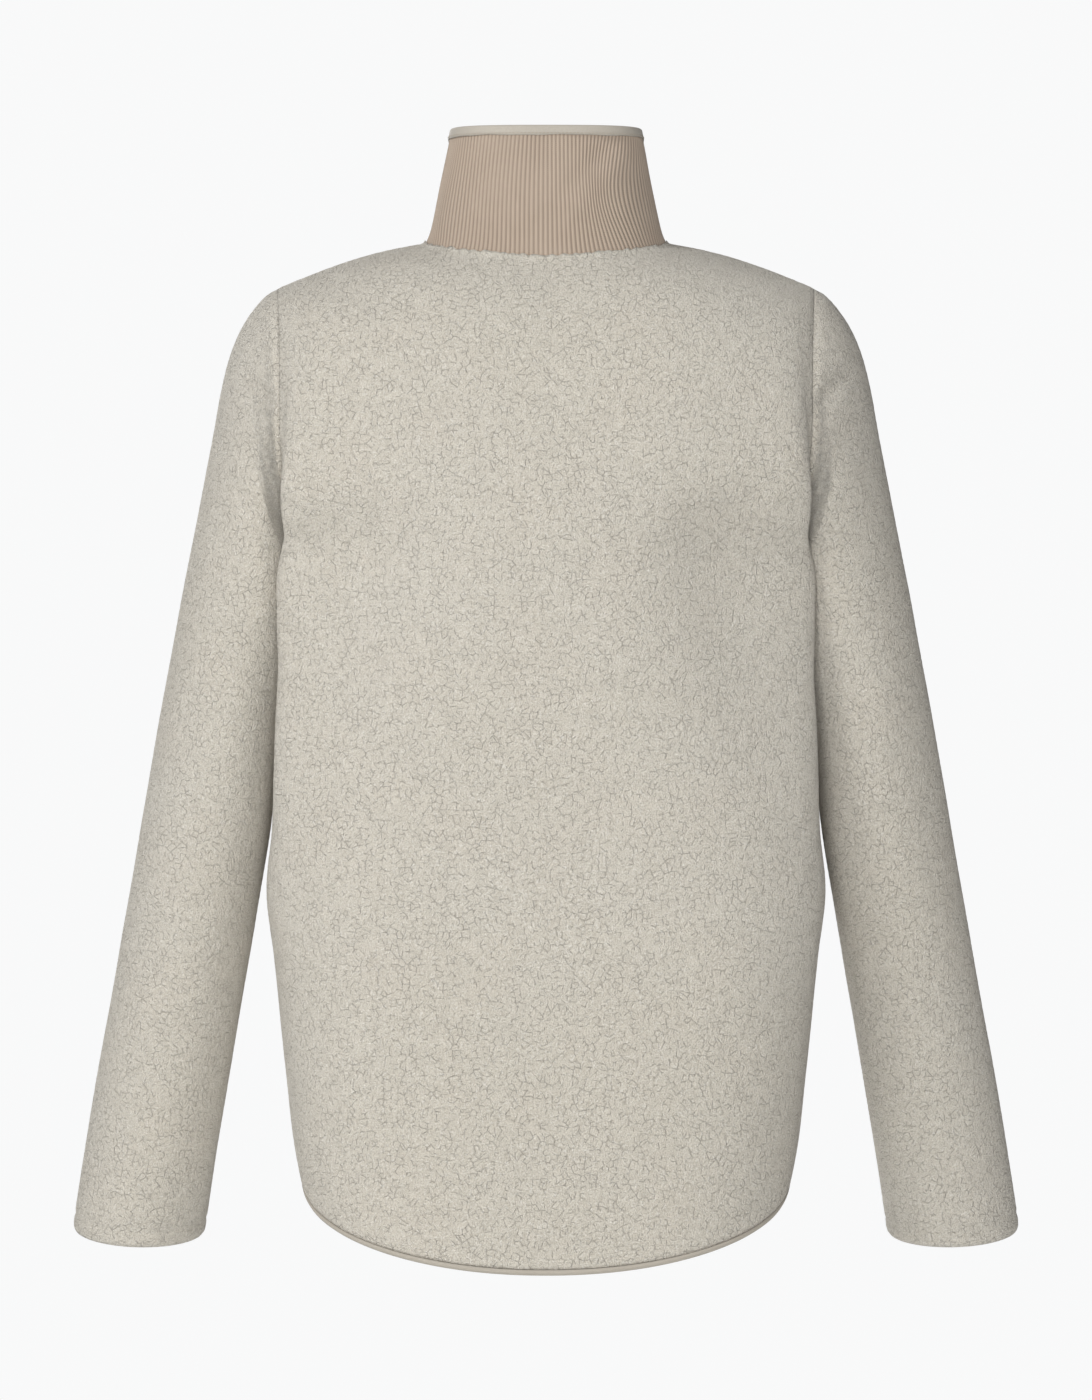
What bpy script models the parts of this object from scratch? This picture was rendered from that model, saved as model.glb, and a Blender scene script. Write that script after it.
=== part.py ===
"""A borg fleece jacket with a rib-knit funnel collar, as worn and filled out.

Frame: metres, +Z up, the front faces -Y, +X is the wearer's left. The origin lies
on the middle line of the body, level with the point where shoulder and neck meet.
Everything below is worked out in millimetres and written to the meshes in metres.
Every cloth piece is a wall: a grid of outer points and a grid of inner points,
joined along their rims. Neighbours share a seam line and stand a seam gap apart.
"""
import math

import bmesh
import bpy
import numpy as np
from mathutils import Matrix

MM = 0.001

# Cloth and small parts, mm
FLEECE = 4.5          # borg with its pile
RIB = 3.0             # double rib knit of the collar
RIB_RELIEF = 0.35     # height of a rib over the mean face, and depth of a groove
TAPE = 1.0            # zip tape and collar binding
SEAM_TRIM = 0.17      # each piece ends this far from its seam line
SEAT = 0.3            # air between a piece and what it lies on
HEM_SEAT = 0.6        # air over the hem band, whose corners turn sharply

# Neck and collar, mm
NECK_HALF_WIDTH = 84.0
COLLAR_TOP_HALF_WIDTH = 66.0
COLLAR_TOP_HALF_DEPTH = 59.0
COLLAR_TOP_BACK_Z = 74.0
COLLAR_TOP_SIDE_Z = 77.0
COLLAR_TOP_FRONT_Z = 61.0
COLLAR_SQUARENESS = 2.8
COLLAR_TOP_DIP = 1.5                                  # power by which the top falls from its sides
COLLAR_FLARE = 0.12                                   # share of the lean taken just over the seam
COLLAR_FLARE_REACH = 0.06                             # share of the height that the flare takes
COLLAR_HEIGHTS = (0.0, 0.07, 0.5, 0.90, 0.925, 1.0)   # shares of the height, base to top
RIBS_PER_SPAN = 3                                     # ribs between two neckline points
BINDING_DEPTH = 6.0                                   # how far the binding reaches down

# Shoulder, armhole and hem, mm
SHOULDER_TIP = (189.0, -32.0)      # x, z
SHOULDER_BEND = 1.42               # the shoulder line drops slowly, then faster
UNDERARM_Z = -213.0
ARMHOLE_BOW = 10.0                 # the armhole's middle stands out this far
ARMHOLE_BOW_RINGS = 4.0            # sleeve rings over which that fades
HEM_BAND = 3.8                     # height of the band under the fleece edge
HEM_CORNER = 0.3                   # share of the band's height that its corners take
HEM_ROUND = 0.35                   # how far the corners draw in, share of the way to the middle

# Zip, mm
FRONT_EDGE_X = 6.0                 # fronts end this far from the middle
TAPE_INNER_X = 3.1
TAPE_OUTER_X = 14.0
CHAIN_HALF_WIDTH = 2.8
CHAIN_HALF_THICKNESS = 1.2
SLIDER_SHARE = 0.80                # place of the slider on the collar's height
SLIDER_HALF_WIDTH = 4.5
SLIDER_HALF_LENGTH = 7.0
SLIDER_PLATE = 1.5
POST_LENGTH = 3.0
POST_HALF_WIDTH = 1.5
LUG = 1.2
PULL_HALF_WIDTH = 2.6
PULL_THICKNESS = 1.4
PULL_LENGTH = 27.0
BARREL_RADIUS = 1.3
PIVOT_OUT = 1.0                    # the pull's hinge stands this far over its middle
PIVOT_ALONG = 2.0                  # and this far over the slider's middle
PULL_NECK = 1.6                    # the pull's faces end this far below its hinge
PULL_NECK_BACK = 1.4
LUG_ROOT = 2.4                     # half length of a lug at the plate
LUG_TIP = 1.2                      # and at its top
LUG_BITE = 0.4                     # how deep a lug is set into the plate
WING_BITE = 0.05                   # how far the plates' sides run into their middle

# Numbers of faces
SHOULDER_ROWS = 3
ARMHOLE_ROWS = 12
SIDE_ROWS = 12
HALF_COLUMNS = 13
COLUMN_CROWDING = 1.35             # power that draws the columns towards the side
CROWDING_ROWS = 1.5                # rows over which they are drawn there
CURVE_POINTS = 400                 # points that trace a row or the collar's top
MITRE_LEAST_COSINE = 0.45          # a seam's wall grows no longer than this allows


def columns(names, rows):
    """A table as a dict of arrays, one for each named column."""
    data = np.array(rows, dtype=float)
    return {name: data[:, k] for k, name in enumerate(names.split())}


# Rows of the body: 0 neckline, 1 shoulder tip, 2 underarm, 3 hem
BODY = columns("row back_y back_z front_y front_z squareness turn rise crest", [
    (0.0, 72, -17, -78, -45, 2.3, 90, 1.5, 0),
    (0.5, 93, -46, -89, -68, 2.4, 74, 1.6, 0.8),
    (1.0, 106, -78, -99, -96, 2.5, 58, 1.7, 1),
    (1.5, 117, -152, -113, -162, 2.8, 52, 1.8, 0.5),
    (2.0, 120, -228, -120, -228, 2.9, 60, 1.8, 0),
    (2.3, 113, -371, -122, -365, 3.0, 88, 1.9, 0),
    (2.6, 112, -514, -120, -502, 2.9, 90, 1.9, 0),
    (3.0, 118, -704, -118, -684, 2.7, 90, 2.1, 0),
])

# Side seam from underarm to hem
SIDE = columns("z x", [
    (-213, 152), (-225, 155), (-260, 160), (-330, 174), (-400, 187.5), (-440, 194),
    (-488, 189.5), (-530, 185.5), (-572, 181), (-614, 176), (-638, 171),
])

# How far each panel bulges out beside the side seam, where the arm presses it in
FOLD = columns("row bulge", [
    (1.2, 0), (1.4, 5), (1.6, 17), (1.75, 28), (2.0, 36), (2.107, 29), (2.266, 17),
    (2.426, 9), (2.517, 5), (2.7, 0),
])
FOLD_PLACE = 0.75     # share of the turn from the middle to the seam
FOLD_WIDTH = 0.17
FOLD_END = 0.12       # share before the seam where the bulge runs out

# Sleeve rings: outermost and innermost point, half depth, middle and forward lean
SLEEVE = columns("ring outer_x outer_z inner_x inner_z half_depth middle_y lean", [
    (0, 189, -32, 152, -213, 70, 0, 0),
    (1, 199, -41, 158, -216.5, 69, 0, 0),
    (2, 209, -54, 163, -222, 67, 0, 0),
    (3, 217, -69, 166, -231, 65, -0.5, 0.5),
    (4, 223, -86, 168, -243, 63, -1.5, 1),
    (5, 228, -107, 171, -258, 61, -3, 2),
    (6, 232.5, -132, 174.5, -277, 59, -5, 3),
    (7, 238.5, -162, 178.5, -300, 57, -8, 4),
    (8, 247.5, -206, 184.5, -332, 55.5, -13, 5),
    (9, 259, -263, 190, -372, 54, -18.5, 7),
    (10, 270.2, -320, 195.4, -419, 53, -26, 8),
    (11, 285.8, -405, 206.3, -480, 51, -37, 9),
    (12, 303.5, -501, 219.5, -554, 49.5, -50.5, 9),
    (13, 322.1, -598, 232.5, -626, 48.5, -64, 9),
    (14, 335.5, -675, 241.8, -683, 48, -76, 9.3),
    (14.6, 337.3, -686, 243.2, -692, 47.4, -77.7, 9.3),
    (15, 339, -697, 244.5, -701.5, 48, -79.4, 9.3),
])

# Soft creases across the sleeve cap, back and front: from the seam up and outward
CREASE = columns("x z", [(183, -118), (215, -90)])
CREASE_DEPTH = 3.5
CREASE_HALF_WIDTH = 9.0

COLOURS = {
    "fleece": (0.58, 0.55, 0.48, 1.0),
    "rib": (0.44, 0.36, 0.28, 1.0),
    "binding": (0.53, 0.49, 0.42, 1.0),
    "tape": (0.50, 0.44, 0.36, 1.0),
    "metal": (0.42, 0.40, 0.37, 1.0),
}


def smooth(at, stations, values):
    """Cubic curve through a table's points; a slope is its neighbours' weighted mean."""
    step = np.diff(stations)
    chord = np.diff(values) / step
    inner = (chord[1:] * step[:-1] + chord[:-1] * step[1:]) / (step[1:] + step[:-1])
    slope = np.concatenate([chord[:1], inner, chord[-1:]])
    at = np.clip(at, stations[0], stations[-1])
    k = np.clip(np.searchsorted(stations, at, side="right") - 1, 0, len(step) - 1)
    t = (at - stations[k]) / step[k]
    start = (2 * t**3 - 3 * t**2 + 1) * values[k] + (t**3 - 2 * t**2 + t) * step[k] * slope[k]
    end = (3 * t**2 - 2 * t**3) * values[k + 1] + (t**3 - t**2) * step[k] * slope[k + 1]
    return start + end


def smooth_rows(table, key, at):
    """All of a table's columns read at one place."""
    return {name: smooth(at, table[key], values) for name, values in table.items()}


def unit(vectors):
    return vectors / np.linalg.norm(vectors, axis=-1, keepdims=True)


def ring_point(ring, angle, side):
    """Sleeve surface: an ellipse through the ring's outer and inner points.

    Angle 0 is the outer or top point, pi the underarm side. Side +1 turns over the
    back first and -1 over the front. The ring's depth leans forward going down.
    """
    row = smooth_rows(SLEEVE, "ring", ring)
    lean = np.radians(row["lean"])
    cos, sin = np.cos(angle), side * np.sin(angle)
    bow = ARMHOLE_BOW * np.exp(-(ring / ARMHOLE_BOW_RINGS) ** 2) * sin**2
    x = (row["outer_x"] + row["inner_x"]) / 2 + (row["outer_x"] - row["inner_x"]) / 2 * cos + bow
    y = row["middle_y"] + row["half_depth"] * sin * np.cos(lean)
    z = (row["outer_z"] + row["inner_z"]) / 2 + (row["outer_z"] - row["inner_z"]) / 2 * cos
    z = z - row["half_depth"] * sin * np.sin(lean)
    start = np.array([CREASE["x"][0], CREASE["z"][0]])
    along = np.array([CREASE["x"][1], CREASE["z"][1]]) - start
    length = np.linalg.norm(along)
    along = along / length
    run = (x - start[0]) * along[0] + (z - start[1]) * along[1]
    off = (x - start[0]) * along[1] - (z - start[1]) * along[0]
    ends = np.exp(-((run / length - 0.5) / 0.5) ** 4)
    depth = CREASE_DEPTH * np.exp(-(off / CREASE_HALF_WIDTH) ** 2) * ends * sin**2
    depth = depth * np.minimum(ring, 1.0)
    return np.stack([x, y - depth * np.sign(sin), z], axis=-1)


def edge_point(row, side):
    """Where a body panel ends: shoulder seam, then half the armhole, then side seam."""
    if row <= 1.0:
        x = NECK_HALF_WIDTH + (SHOULDER_TIP[0] - NECK_HALF_WIDTH) * row
        return np.array([x, 0.0, SHOULDER_TIP[1] * row**SHOULDER_BEND])
    if row <= 2.0:
        return ring_point(np.float64(0.0), math.pi * (row - 1.0), side)
    z = UNDERARM_Z + (SIDE["z"][-1] - UNDERARM_Z) * (row - 2.0)
    return np.array([smooth(-z, -SIDE["z"], SIDE["x"]), 0.0, z])


def body_row(row, side, shares, start_x=0.0):
    """Points of one row of a panel, from the middle line to its edge.

    Seen from above a row is a superellipse, cut off at the table's turn. It rises
    from the middle to the edge as a power of its length, and at the shoulder it
    levels out again at its end. Below the armhole a bulge stands beside the seam.
    """
    now = smooth_rows(BODY, "row", np.float64(row))
    name = "back" if side > 0 else "front"
    middle_y, middle_z = now[name + "_y"], now[name + "_z"]
    edge = edge_point(row, side)
    last = math.radians(min(now["turn"], 90.0))
    power = 2.0 / now["squareness"]
    turn = np.linspace(0.0, last, CURVE_POINTS)
    x = edge[0] * (np.sin(turn) / math.sin(last)) ** power
    drop = 1.0 - np.maximum(np.cos(turn), 0.0) ** power
    y = middle_y + (edge[1] - middle_y) * drop / drop[-1]
    bulge = smooth(np.float64(row), FOLD["row"], FOLD["bulge"])
    place = (turn / last - FOLD_PLACE) / FOLD_WIDTH
    x = x + bulge * np.exp(-place**2) * np.clip((1.0 - turn / last) / FOLD_END, 0, 1)
    arc = np.concatenate([[0.0], np.cumsum(np.hypot(np.diff(x), np.diff(y)))])
    share = arc / arc[-1]
    rise = share ** now["rise"] * (1.0 + now["crest"] * now["rise"] * (1.0 - share))
    z = middle_z + (edge[2] - middle_z) * rise
    first = np.interp(start_x, x[:CURVE_POINTS // 2], arc[:CURVE_POINTS // 2])
    at = first + (arc[-1] - first) * shares
    return np.stack([np.interp(at, arc, values) for values in (x, y, z)], axis=-1)


def column_shares(row):
    """Even columns at the neckline, closer ones near the side further down."""
    even = np.linspace(0.0, 1.0, HALF_COLUMNS + 1)
    close = 1.0 - (1.0 - even) ** COLUMN_CROWDING
    blend = min(row / CROWDING_ROWS, 1.0)
    return even + (close - even) * blend


def body_rows():
    shoulder = np.linspace(0.0, 1.0, SHOULDER_ROWS + 1)
    armhole = np.linspace(1.0, 2.0, ARMHOLE_ROWS + 1)
    side = np.linspace(2.0, 3.0, SIDE_ROWS + 1)
    return np.concatenate([shoulder, armhole[1:], side[1:]])


def panel_grid(side, start_x):
    """Half a panel on the wearer's left: rows down, columns from middle to edge."""
    return np.array([body_row(row, side, column_shares(row), start_x) for row in body_rows()])


def sleeve_grid():
    """Rings of the left sleeve; columns run over the back, under, then the front."""
    half = np.linspace(0.0, math.pi, ARMHOLE_ROWS + 1)
    rows = []
    for ring in SLEEVE["ring"]:
        back = ring_point(ring, half, 1.0)
        front = ring_point(ring, half[::-1], -1.0)
        rows.append(np.concatenate([back, front[1:-1]]))
    return np.array(rows)


def collar_top(base):
    """Top line over the base points: a superellipse, matched by share of length."""
    count = len(base)
    side_at = HALF_COLUMNS
    turn = np.linspace(0.0, math.pi / 2, CURVE_POINTS)
    power = 2.0 / COLLAR_SQUARENESS
    x = COLLAR_TOP_HALF_WIDTH * np.sin(turn) ** power
    y = COLLAR_TOP_HALF_DEPTH * np.maximum(np.cos(turn), 0) ** power
    arc = np.concatenate([[0.0], np.cumsum(np.hypot(np.diff(x), np.diff(y)))])
    first_half = slice(0, CURVE_POINTS // 2)
    front_start = np.interp(FRONT_EDGE_X, x[first_half], arc[first_half])
    back = np.linspace(0.0, arc[-1], side_at + 1)
    front = np.linspace(arc[-1], front_start, count - side_at)
    at = np.concatenate([back, front[1:]])
    facing = np.where(np.arange(count) <= side_at, 1.0, -1.0)
    x, y = np.interp(at, arc, x), np.interp(at, arc, y) * facing
    end_z = np.where(facing > 0, COLLAR_TOP_BACK_Z, COLLAR_TOP_FRONT_Z)
    dip = (np.abs(y) / COLLAR_TOP_HALF_DEPTH) ** COLLAR_TOP_DIP
    z = COLLAR_TOP_SIDE_Z + (end_z - COLLAR_TOP_SIDE_Z) * dip
    return np.stack([x, y, z], axis=-1)


def collar_surface(base, top, share):
    """The collar leaves the neckline with a small flare, then leans evenly inward."""
    flare = COLLAR_FLARE * (1.0 - share) * (1.0 - math.exp(-share / COLLAR_FLARE_REACH))
    inward = share + flare
    point = base + (top - base) * share
    point[:, :2] = base[:, :2] + (top[:, :2] - base[:, :2]) * inward
    return point


def grid_normals(grid, closed):
    """Unit normals of a grid of points, from central differences along both ways."""
    down = np.gradient(grid, axis=0)
    if closed:
        across = (np.roll(grid, -1, axis=1) - np.roll(grid, 1, axis=1)) / 2
    else:
        across = np.gradient(grid, axis=1)
    return unit(np.cross(down, across))


def inward(normals, grid, middle):
    """The same normals, turned as a whole to face the given middle points."""
    facing = np.sum(normals * (middle - grid))
    return normals if facing > 0 else -normals


def offset_along(direction, normals, thickness):
    """Thickness measured square to the face, but taken along a mitre direction."""
    cosine = np.clip(np.sum(direction * normals, axis=-1, keepdims=True), MITRE_LEAST_COSINE, 1.0)
    return direction * (thickness / cosine)


def seam_gap(line, direction, axis, sign, closed=False):
    """Small step square to a seam's line and mitre, on the side of one of its pieces."""
    if closed:
        along = np.roll(line, -1, axis=0) - np.roll(line, 1, axis=0)
    else:
        along = np.gradient(line, axis=0)
    step = unit(np.cross(along, direction))
    step = step * np.sign(step[:, axis:axis + 1]) * sign
    return step * SEAM_TRIM


def mirrored(grid):
    return grid * np.array([-1.0, 1.0, 1.0])


def material(name, roughness, metallic=0.0):
    made = bpy.data.materials.new("mat_" + name)
    made.use_nodes = True
    shader = made.node_tree.nodes["Principled BSDF"]
    shader.inputs["Base Color"].default_value = COLOURS[name]
    shader.inputs["Roughness"].default_value = roughness
    shader.inputs["Metallic"].default_value = metallic
    made.diffuse_color = COLOURS[name]
    return made


def add_object(name, points, faces, look):
    """A closed mesh from points in mm, with its faces turned outward."""
    mesh = bpy.data.meshes.new(name)
    mesh.from_pydata((np.asarray(points) * MM).tolist(), [], faces)
    work = bmesh.new()
    work.from_mesh(mesh)
    bmesh.ops.recalc_face_normals(work, faces=work.faces)
    bmesh.ops.triangulate(work, faces=[face for face in work.faces if len(face.verts) > 4])
    if work.calc_volume(signed=True) < 0:
        bmesh.ops.reverse_faces(work, faces=work.faces)
    work.to_mesh(mesh)
    work.free()
    mesh.materials.append(look)
    made = bpy.data.objects.new(name, mesh)
    bpy.context.scene.collection.objects.link(made)
    return made


def grid_quads(rows, count, closed, first=0):
    faces = []
    for r in range(rows - 1):
        for c in range(count if closed else count - 1):
            d = (c + 1) % count
            a = first + r * count
            faces.append((a + c, a + d, a + count + d, a + count + c))
    return faces


def rim_faces(points, pairs, size):
    """Rim between outer and inner points, each quad cut along its shorter diagonal."""
    faces = []
    for a, b in pairs:
        if np.linalg.norm(points[a] - points[size + b]) < np.linalg.norm(points[b] - points[size + a]):
            faces += [(a, b, size + b), (a, size + b, size + a)]
        else:
            faces += [(a, b, size + a), (b, size + b, size + a)]
    return faces


def wall(name, outer, inner, closed, look):
    """Two grids joined along their rims into one closed wall."""
    rows, count = outer.shape[:2]
    size = rows * count
    points = np.concatenate([outer.reshape(-1, 3), inner.reshape(-1, 3)])
    faces = grid_quads(rows, count, closed)
    faces += [face[::-1] for face in grid_quads(rows, count, closed, size)]
    spans = range(count if closed else count - 1)
    pairs = [(r * count + c, r * count + (c + 1) % count) for r in (0, rows - 1) for c in spans]
    if not closed:
        pairs += [(r * count + c, (r + 1) * count + c) for c in (0, count - 1) for r in range(rows - 1)]
    faces += rim_faces(points, pairs, size)
    return add_object(name, points, faces, look)


def bar(name, sections, look):
    """A solid along a path: equal closed sections in order, with flat ends."""
    rows, count = sections.shape[:2]
    faces = grid_quads(rows, count, True)
    faces.append(tuple(range(count))[::-1])
    faces.append(tuple(range((rows - 1) * count, rows * count)))
    return add_object(name, sections.reshape(-1, 3), faces, look)


def fine_to_coarse(fine, coarse, ratio):
    """Triangles between a line of many points and a line of few."""
    faces = []
    for j in range(len(coarse) - 1):
        first, middle, last = j * ratio, j * ratio + ratio // 2, (j + 1) * ratio
        for i in range(first, last):
            near = coarse[j] if i < middle else coarse[j + 1]
            faces.append((fine[i], fine[i + 1], near))
        faces.append((coarse[j], fine[middle], coarse[j + 1]))
    return faces


def main():
    for old in list(bpy.data.objects):
        bpy.data.objects.remove(old, do_unlink=True)
    fleece = material("fleece", 0.95)
    rib = material("rib", 0.9)
    binding = material("binding", 0.85)
    tape = material("tape", 0.85)
    metal = material("metal", 0.35, 0.9)

    # Outer faces of the left half, and their inward normals
    back_half = panel_grid(1.0, 0.0)
    front_half = panel_grid(-1.0, FRONT_EDGE_X)
    sleeve = sleeve_grid()
    axis = np.array([0.0, 0.0, -300.0])
    back_in = inward(grid_normals(back_half, False), back_half, axis)
    back_in[:, 0, 0] = 0.0
    back_in = unit(back_in)
    front_in = inward(grid_normals(front_half, False), front_half, axis)
    sleeve_in = inward(grid_normals(sleeve, True), sleeve, sleeve.mean(axis=1, keepdims=True))
    neckline = np.concatenate([back_half[0], front_half[0, ::-1][1:]])
    top = collar_top(neckline)
    collar = np.array([collar_surface(neckline, top, share) for share in COLLAR_HEIGHTS])
    collar_in = inward(grid_normals(collar, False), collar, np.array([0.0, 0.0, 40.0]))
    collar_in[:, 0, 0] = 0.0
    collar_in = unit(collar_in)

    # Seam directions shared by the pieces that meet there
    tip, underarm = SHOULDER_ROWS, SHOULDER_ROWS + ARMHOLE_ROWS
    shoulder_in = unit(back_in[:tip + 1, -1] + front_in[:tip + 1, -1])
    side_in = unit(back_in[underarm:, -1] + front_in[underarm:, -1])
    body_neck = np.concatenate([back_in[0, :-1], shoulder_in[:1], front_in[0, -2::-1]])
    neck_mitre = unit(body_neck + collar_in[0])
    body_arm = np.concatenate([shoulder_in[-1:], back_in[tip + 1:underarm, -1], side_in[:1],
                               front_in[underarm - 1:tip:-1, -1]])
    arm_mitre = unit(body_arm + sleeve_in[0])
    neck_step = seam_gap(neckline, neck_mitre, 2, -1.0)
    arm_step = seam_gap(sleeve[0], arm_mitre, 0, -1.0, closed=True)
    shoulder_step = seam_gap(back_half[:tip + 1, -1], shoulder_in, 1, 1.0)
    side_step = seam_gap(back_half[underarm:, -1], side_in, 1, 1.0)

    def finish_panel(grid, normals, side, neck, arm):
        """Outer and inner points of half a panel, parted from its neighbours."""
        offsets = normals * FLEECE
        offsets[:tip + 1, -1] = offset_along(shoulder_in, normals[:tip + 1, -1], FLEECE)
        offsets[underarm:, -1] = offset_along(side_in, normals[underarm:, -1], FLEECE)
        offsets[tip:underarm + 1, -1] = offset_along(arm_mitre[arm], body_arm[arm], FLEECE)
        offsets[0] = offset_along(neck_mitre[neck], body_neck[neck], FLEECE)
        steps = np.zeros_like(grid)
        steps[0] += neck_step[neck]
        steps[:tip + 1, -1] += shoulder_step * side
        steps[tip:underarm + 1, -1] += arm_step[arm]
        steps[underarm:, -1] += side_step * side
        return grid + steps, grid + offsets + steps

    def whole_grid(half_grid):
        return np.concatenate([mirrored(half_grid)[:, ::-1], half_grid[:, 1:]], axis=1)

    # The back, whole, and the two fronts
    neck_back = np.arange(HALF_COLUMNS + 1)
    neck_front = np.arange(HALF_COLUMNS, len(neckline))[::-1]
    arm_back = np.arange(ARMHOLE_ROWS + 1)
    arm_front = -arm_back
    back_outer, back_inner = finish_panel(back_half, back_in, 1.0, neck_back, arm_back)
    front_outer, front_inner = finish_panel(front_half, front_in, -1.0, neck_front, arm_front)
    wall("back", whole_grid(back_outer), whole_grid(back_inner), False, fleece)
    wall("front_left", front_outer, front_inner, False, fleece)
    wall("front_right", mirrored(front_outer), mirrored(front_inner), False, fleece)

    # Sleeves
    sleeve_off = sleeve_in * FLEECE
    sleeve_off[0] = offset_along(arm_mitre, sleeve_in[0], FLEECE)
    inner = sleeve + sleeve_off
    outer = sleeve.copy()
    outer[0] -= arm_step
    inner[0] -= arm_step
    wall("sleeve_left", outer, inner, True, fleece)
    wall("sleeve_right", mirrored(outer), mirrored(inner), True, fleece)

    # Collar: ribs on the outer face between its flat base and flat top
    collar_off = collar_in * RIB
    collar_off[0] = offset_along(neck_mitre, collar_in[0], RIB)
    inner = collar + collar_off
    outer = collar.copy()
    outer[0] -= neck_step
    inner[0] -= neck_step
    outer, inner, normals = whole_grid(outer), whole_grid(inner), whole_grid(collar_in)
    make_collar(outer, inner, normals, rib)
    make_binding(outer, inner, normals, binding)

    # Hem band under the three panels, from front edge to front edge
    hem_outer = np.concatenate([back_half[-2:], front_half[-2:, -2::-1]], axis=1)
    hem_inner = np.concatenate([back_inner[-1, :-1], (back_inner[-1:, -1] + front_inner[-1:, -1]) / 2,
                                front_inner[-1, -2::-1]])
    make_hem_band(hem_outer, hem_inner, binding)
    make_zip(front_inner, front_in[:, 0], inner, normals, tape, metal)


def make_collar(outer, inner, normals, look):
    """Flat at base and top; between them each rib stands out and each groove in."""
    rows, count = outer.shape[:2]
    ratio = 2 * RIBS_PER_SPAN
    spans = (count - 1) * ratio
    at = np.arange(spans + 1) / ratio
    low = np.minimum(at.astype(int), count - 2)
    share = (at - low)[:, None]
    relief = np.where(np.arange(spans + 1) % 2 == 0, -RIB_RELIEF, RIB_RELIEF)[:, None]
    points, faces = [], []

    def add(line):
        first = sum(len(p) for p in points)
        points.append(line)
        return list(range(first, first + len(line)))

    base, below, last = add(outer[0]), add(outer[-2]), add(outer[-1])
    fine = []
    for r in range(1, rows - 2):
        line = outer[r, low] * (1 - share) + outer[r, low + 1] * share
        face = normals[r, low] * (1 - share) + normals[r, low + 1] * share
        fine.append(add(line - face * relief))
    back_lines = [add(line) for line in inner[[0, 2, 5]]]
    faces += fine_to_coarse(fine[0], base, ratio)
    faces += fine_to_coarse(fine[-1], below, ratio)
    for low_line, high_line in zip(fine[:-1], fine[1:]):
        for i in range(spans):
            faces.append((low_line[i], low_line[i + 1], high_line[i + 1], high_line[i]))
    pairs = [(below, last), (last, back_lines[2]), (back_lines[2], back_lines[1]),
             (back_lines[1], back_lines[0]), (back_lines[0], base)]
    for one, two in pairs:
        for i in range(count - 1):
            faces.append((one[i], one[i + 1], two[i + 1], two[i]))
    outside = [base] + fine + [below, last]
    for end in (0, -1):
        faces.append(tuple([line[end] for line in outside] + [line[end] for line in back_lines[::-1]]))
    add_object("collar", np.concatenate(points), faces, look)


def make_binding(outer, inner, normals, look):
    """A tape folded over the collar's top edge, with air inside it on every face."""
    out_top, in_top = outer[-1], inner[-1]
    up = unit(outer[-1] - outer[-2])
    away = -normals[-1]
    near, far = SEAT, SEAT + TAPE
    section = [
        out_top + away * near - up * BINDING_DEPTH,
        out_top + away * near + up * near,
        in_top - away * near + up * near,
        in_top - away * near - up * BINDING_DEPTH,
        in_top - away * far - up * BINDING_DEPTH,
        in_top - away * far + up * far,
        out_top + away * far + up * far,
        out_top + away * far - up * BINDING_DEPTH,
    ]
    bar("collar_binding", np.stack(section, axis=1), look)


def make_hem_band(lines, inner, look):
    """A narrow band that continues the wall just under the fleece edge."""
    edge = lines[1]
    down = unit(lines[1] - lines[0])
    middle = (edge + inner) / 2
    start, full = HEM_SEAT, HEM_SEAT + HEM_BAND
    bend = full - HEM_BAND * HEM_CORNER
    section = [
        edge + down * start,
        edge + down * bend,
        edge * (1 - HEM_ROUND) + middle * HEM_ROUND + down * full,
        inner * (1 - HEM_ROUND) + middle * HEM_ROUND + down * full,
        inner + down * bend,
        inner + down * start,
    ]
    left = np.stack(section, axis=1)
    whole = np.concatenate([mirrored(left)[::-1], left[1:]], axis=0)
    bar("hem_binding", whole, look)


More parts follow.
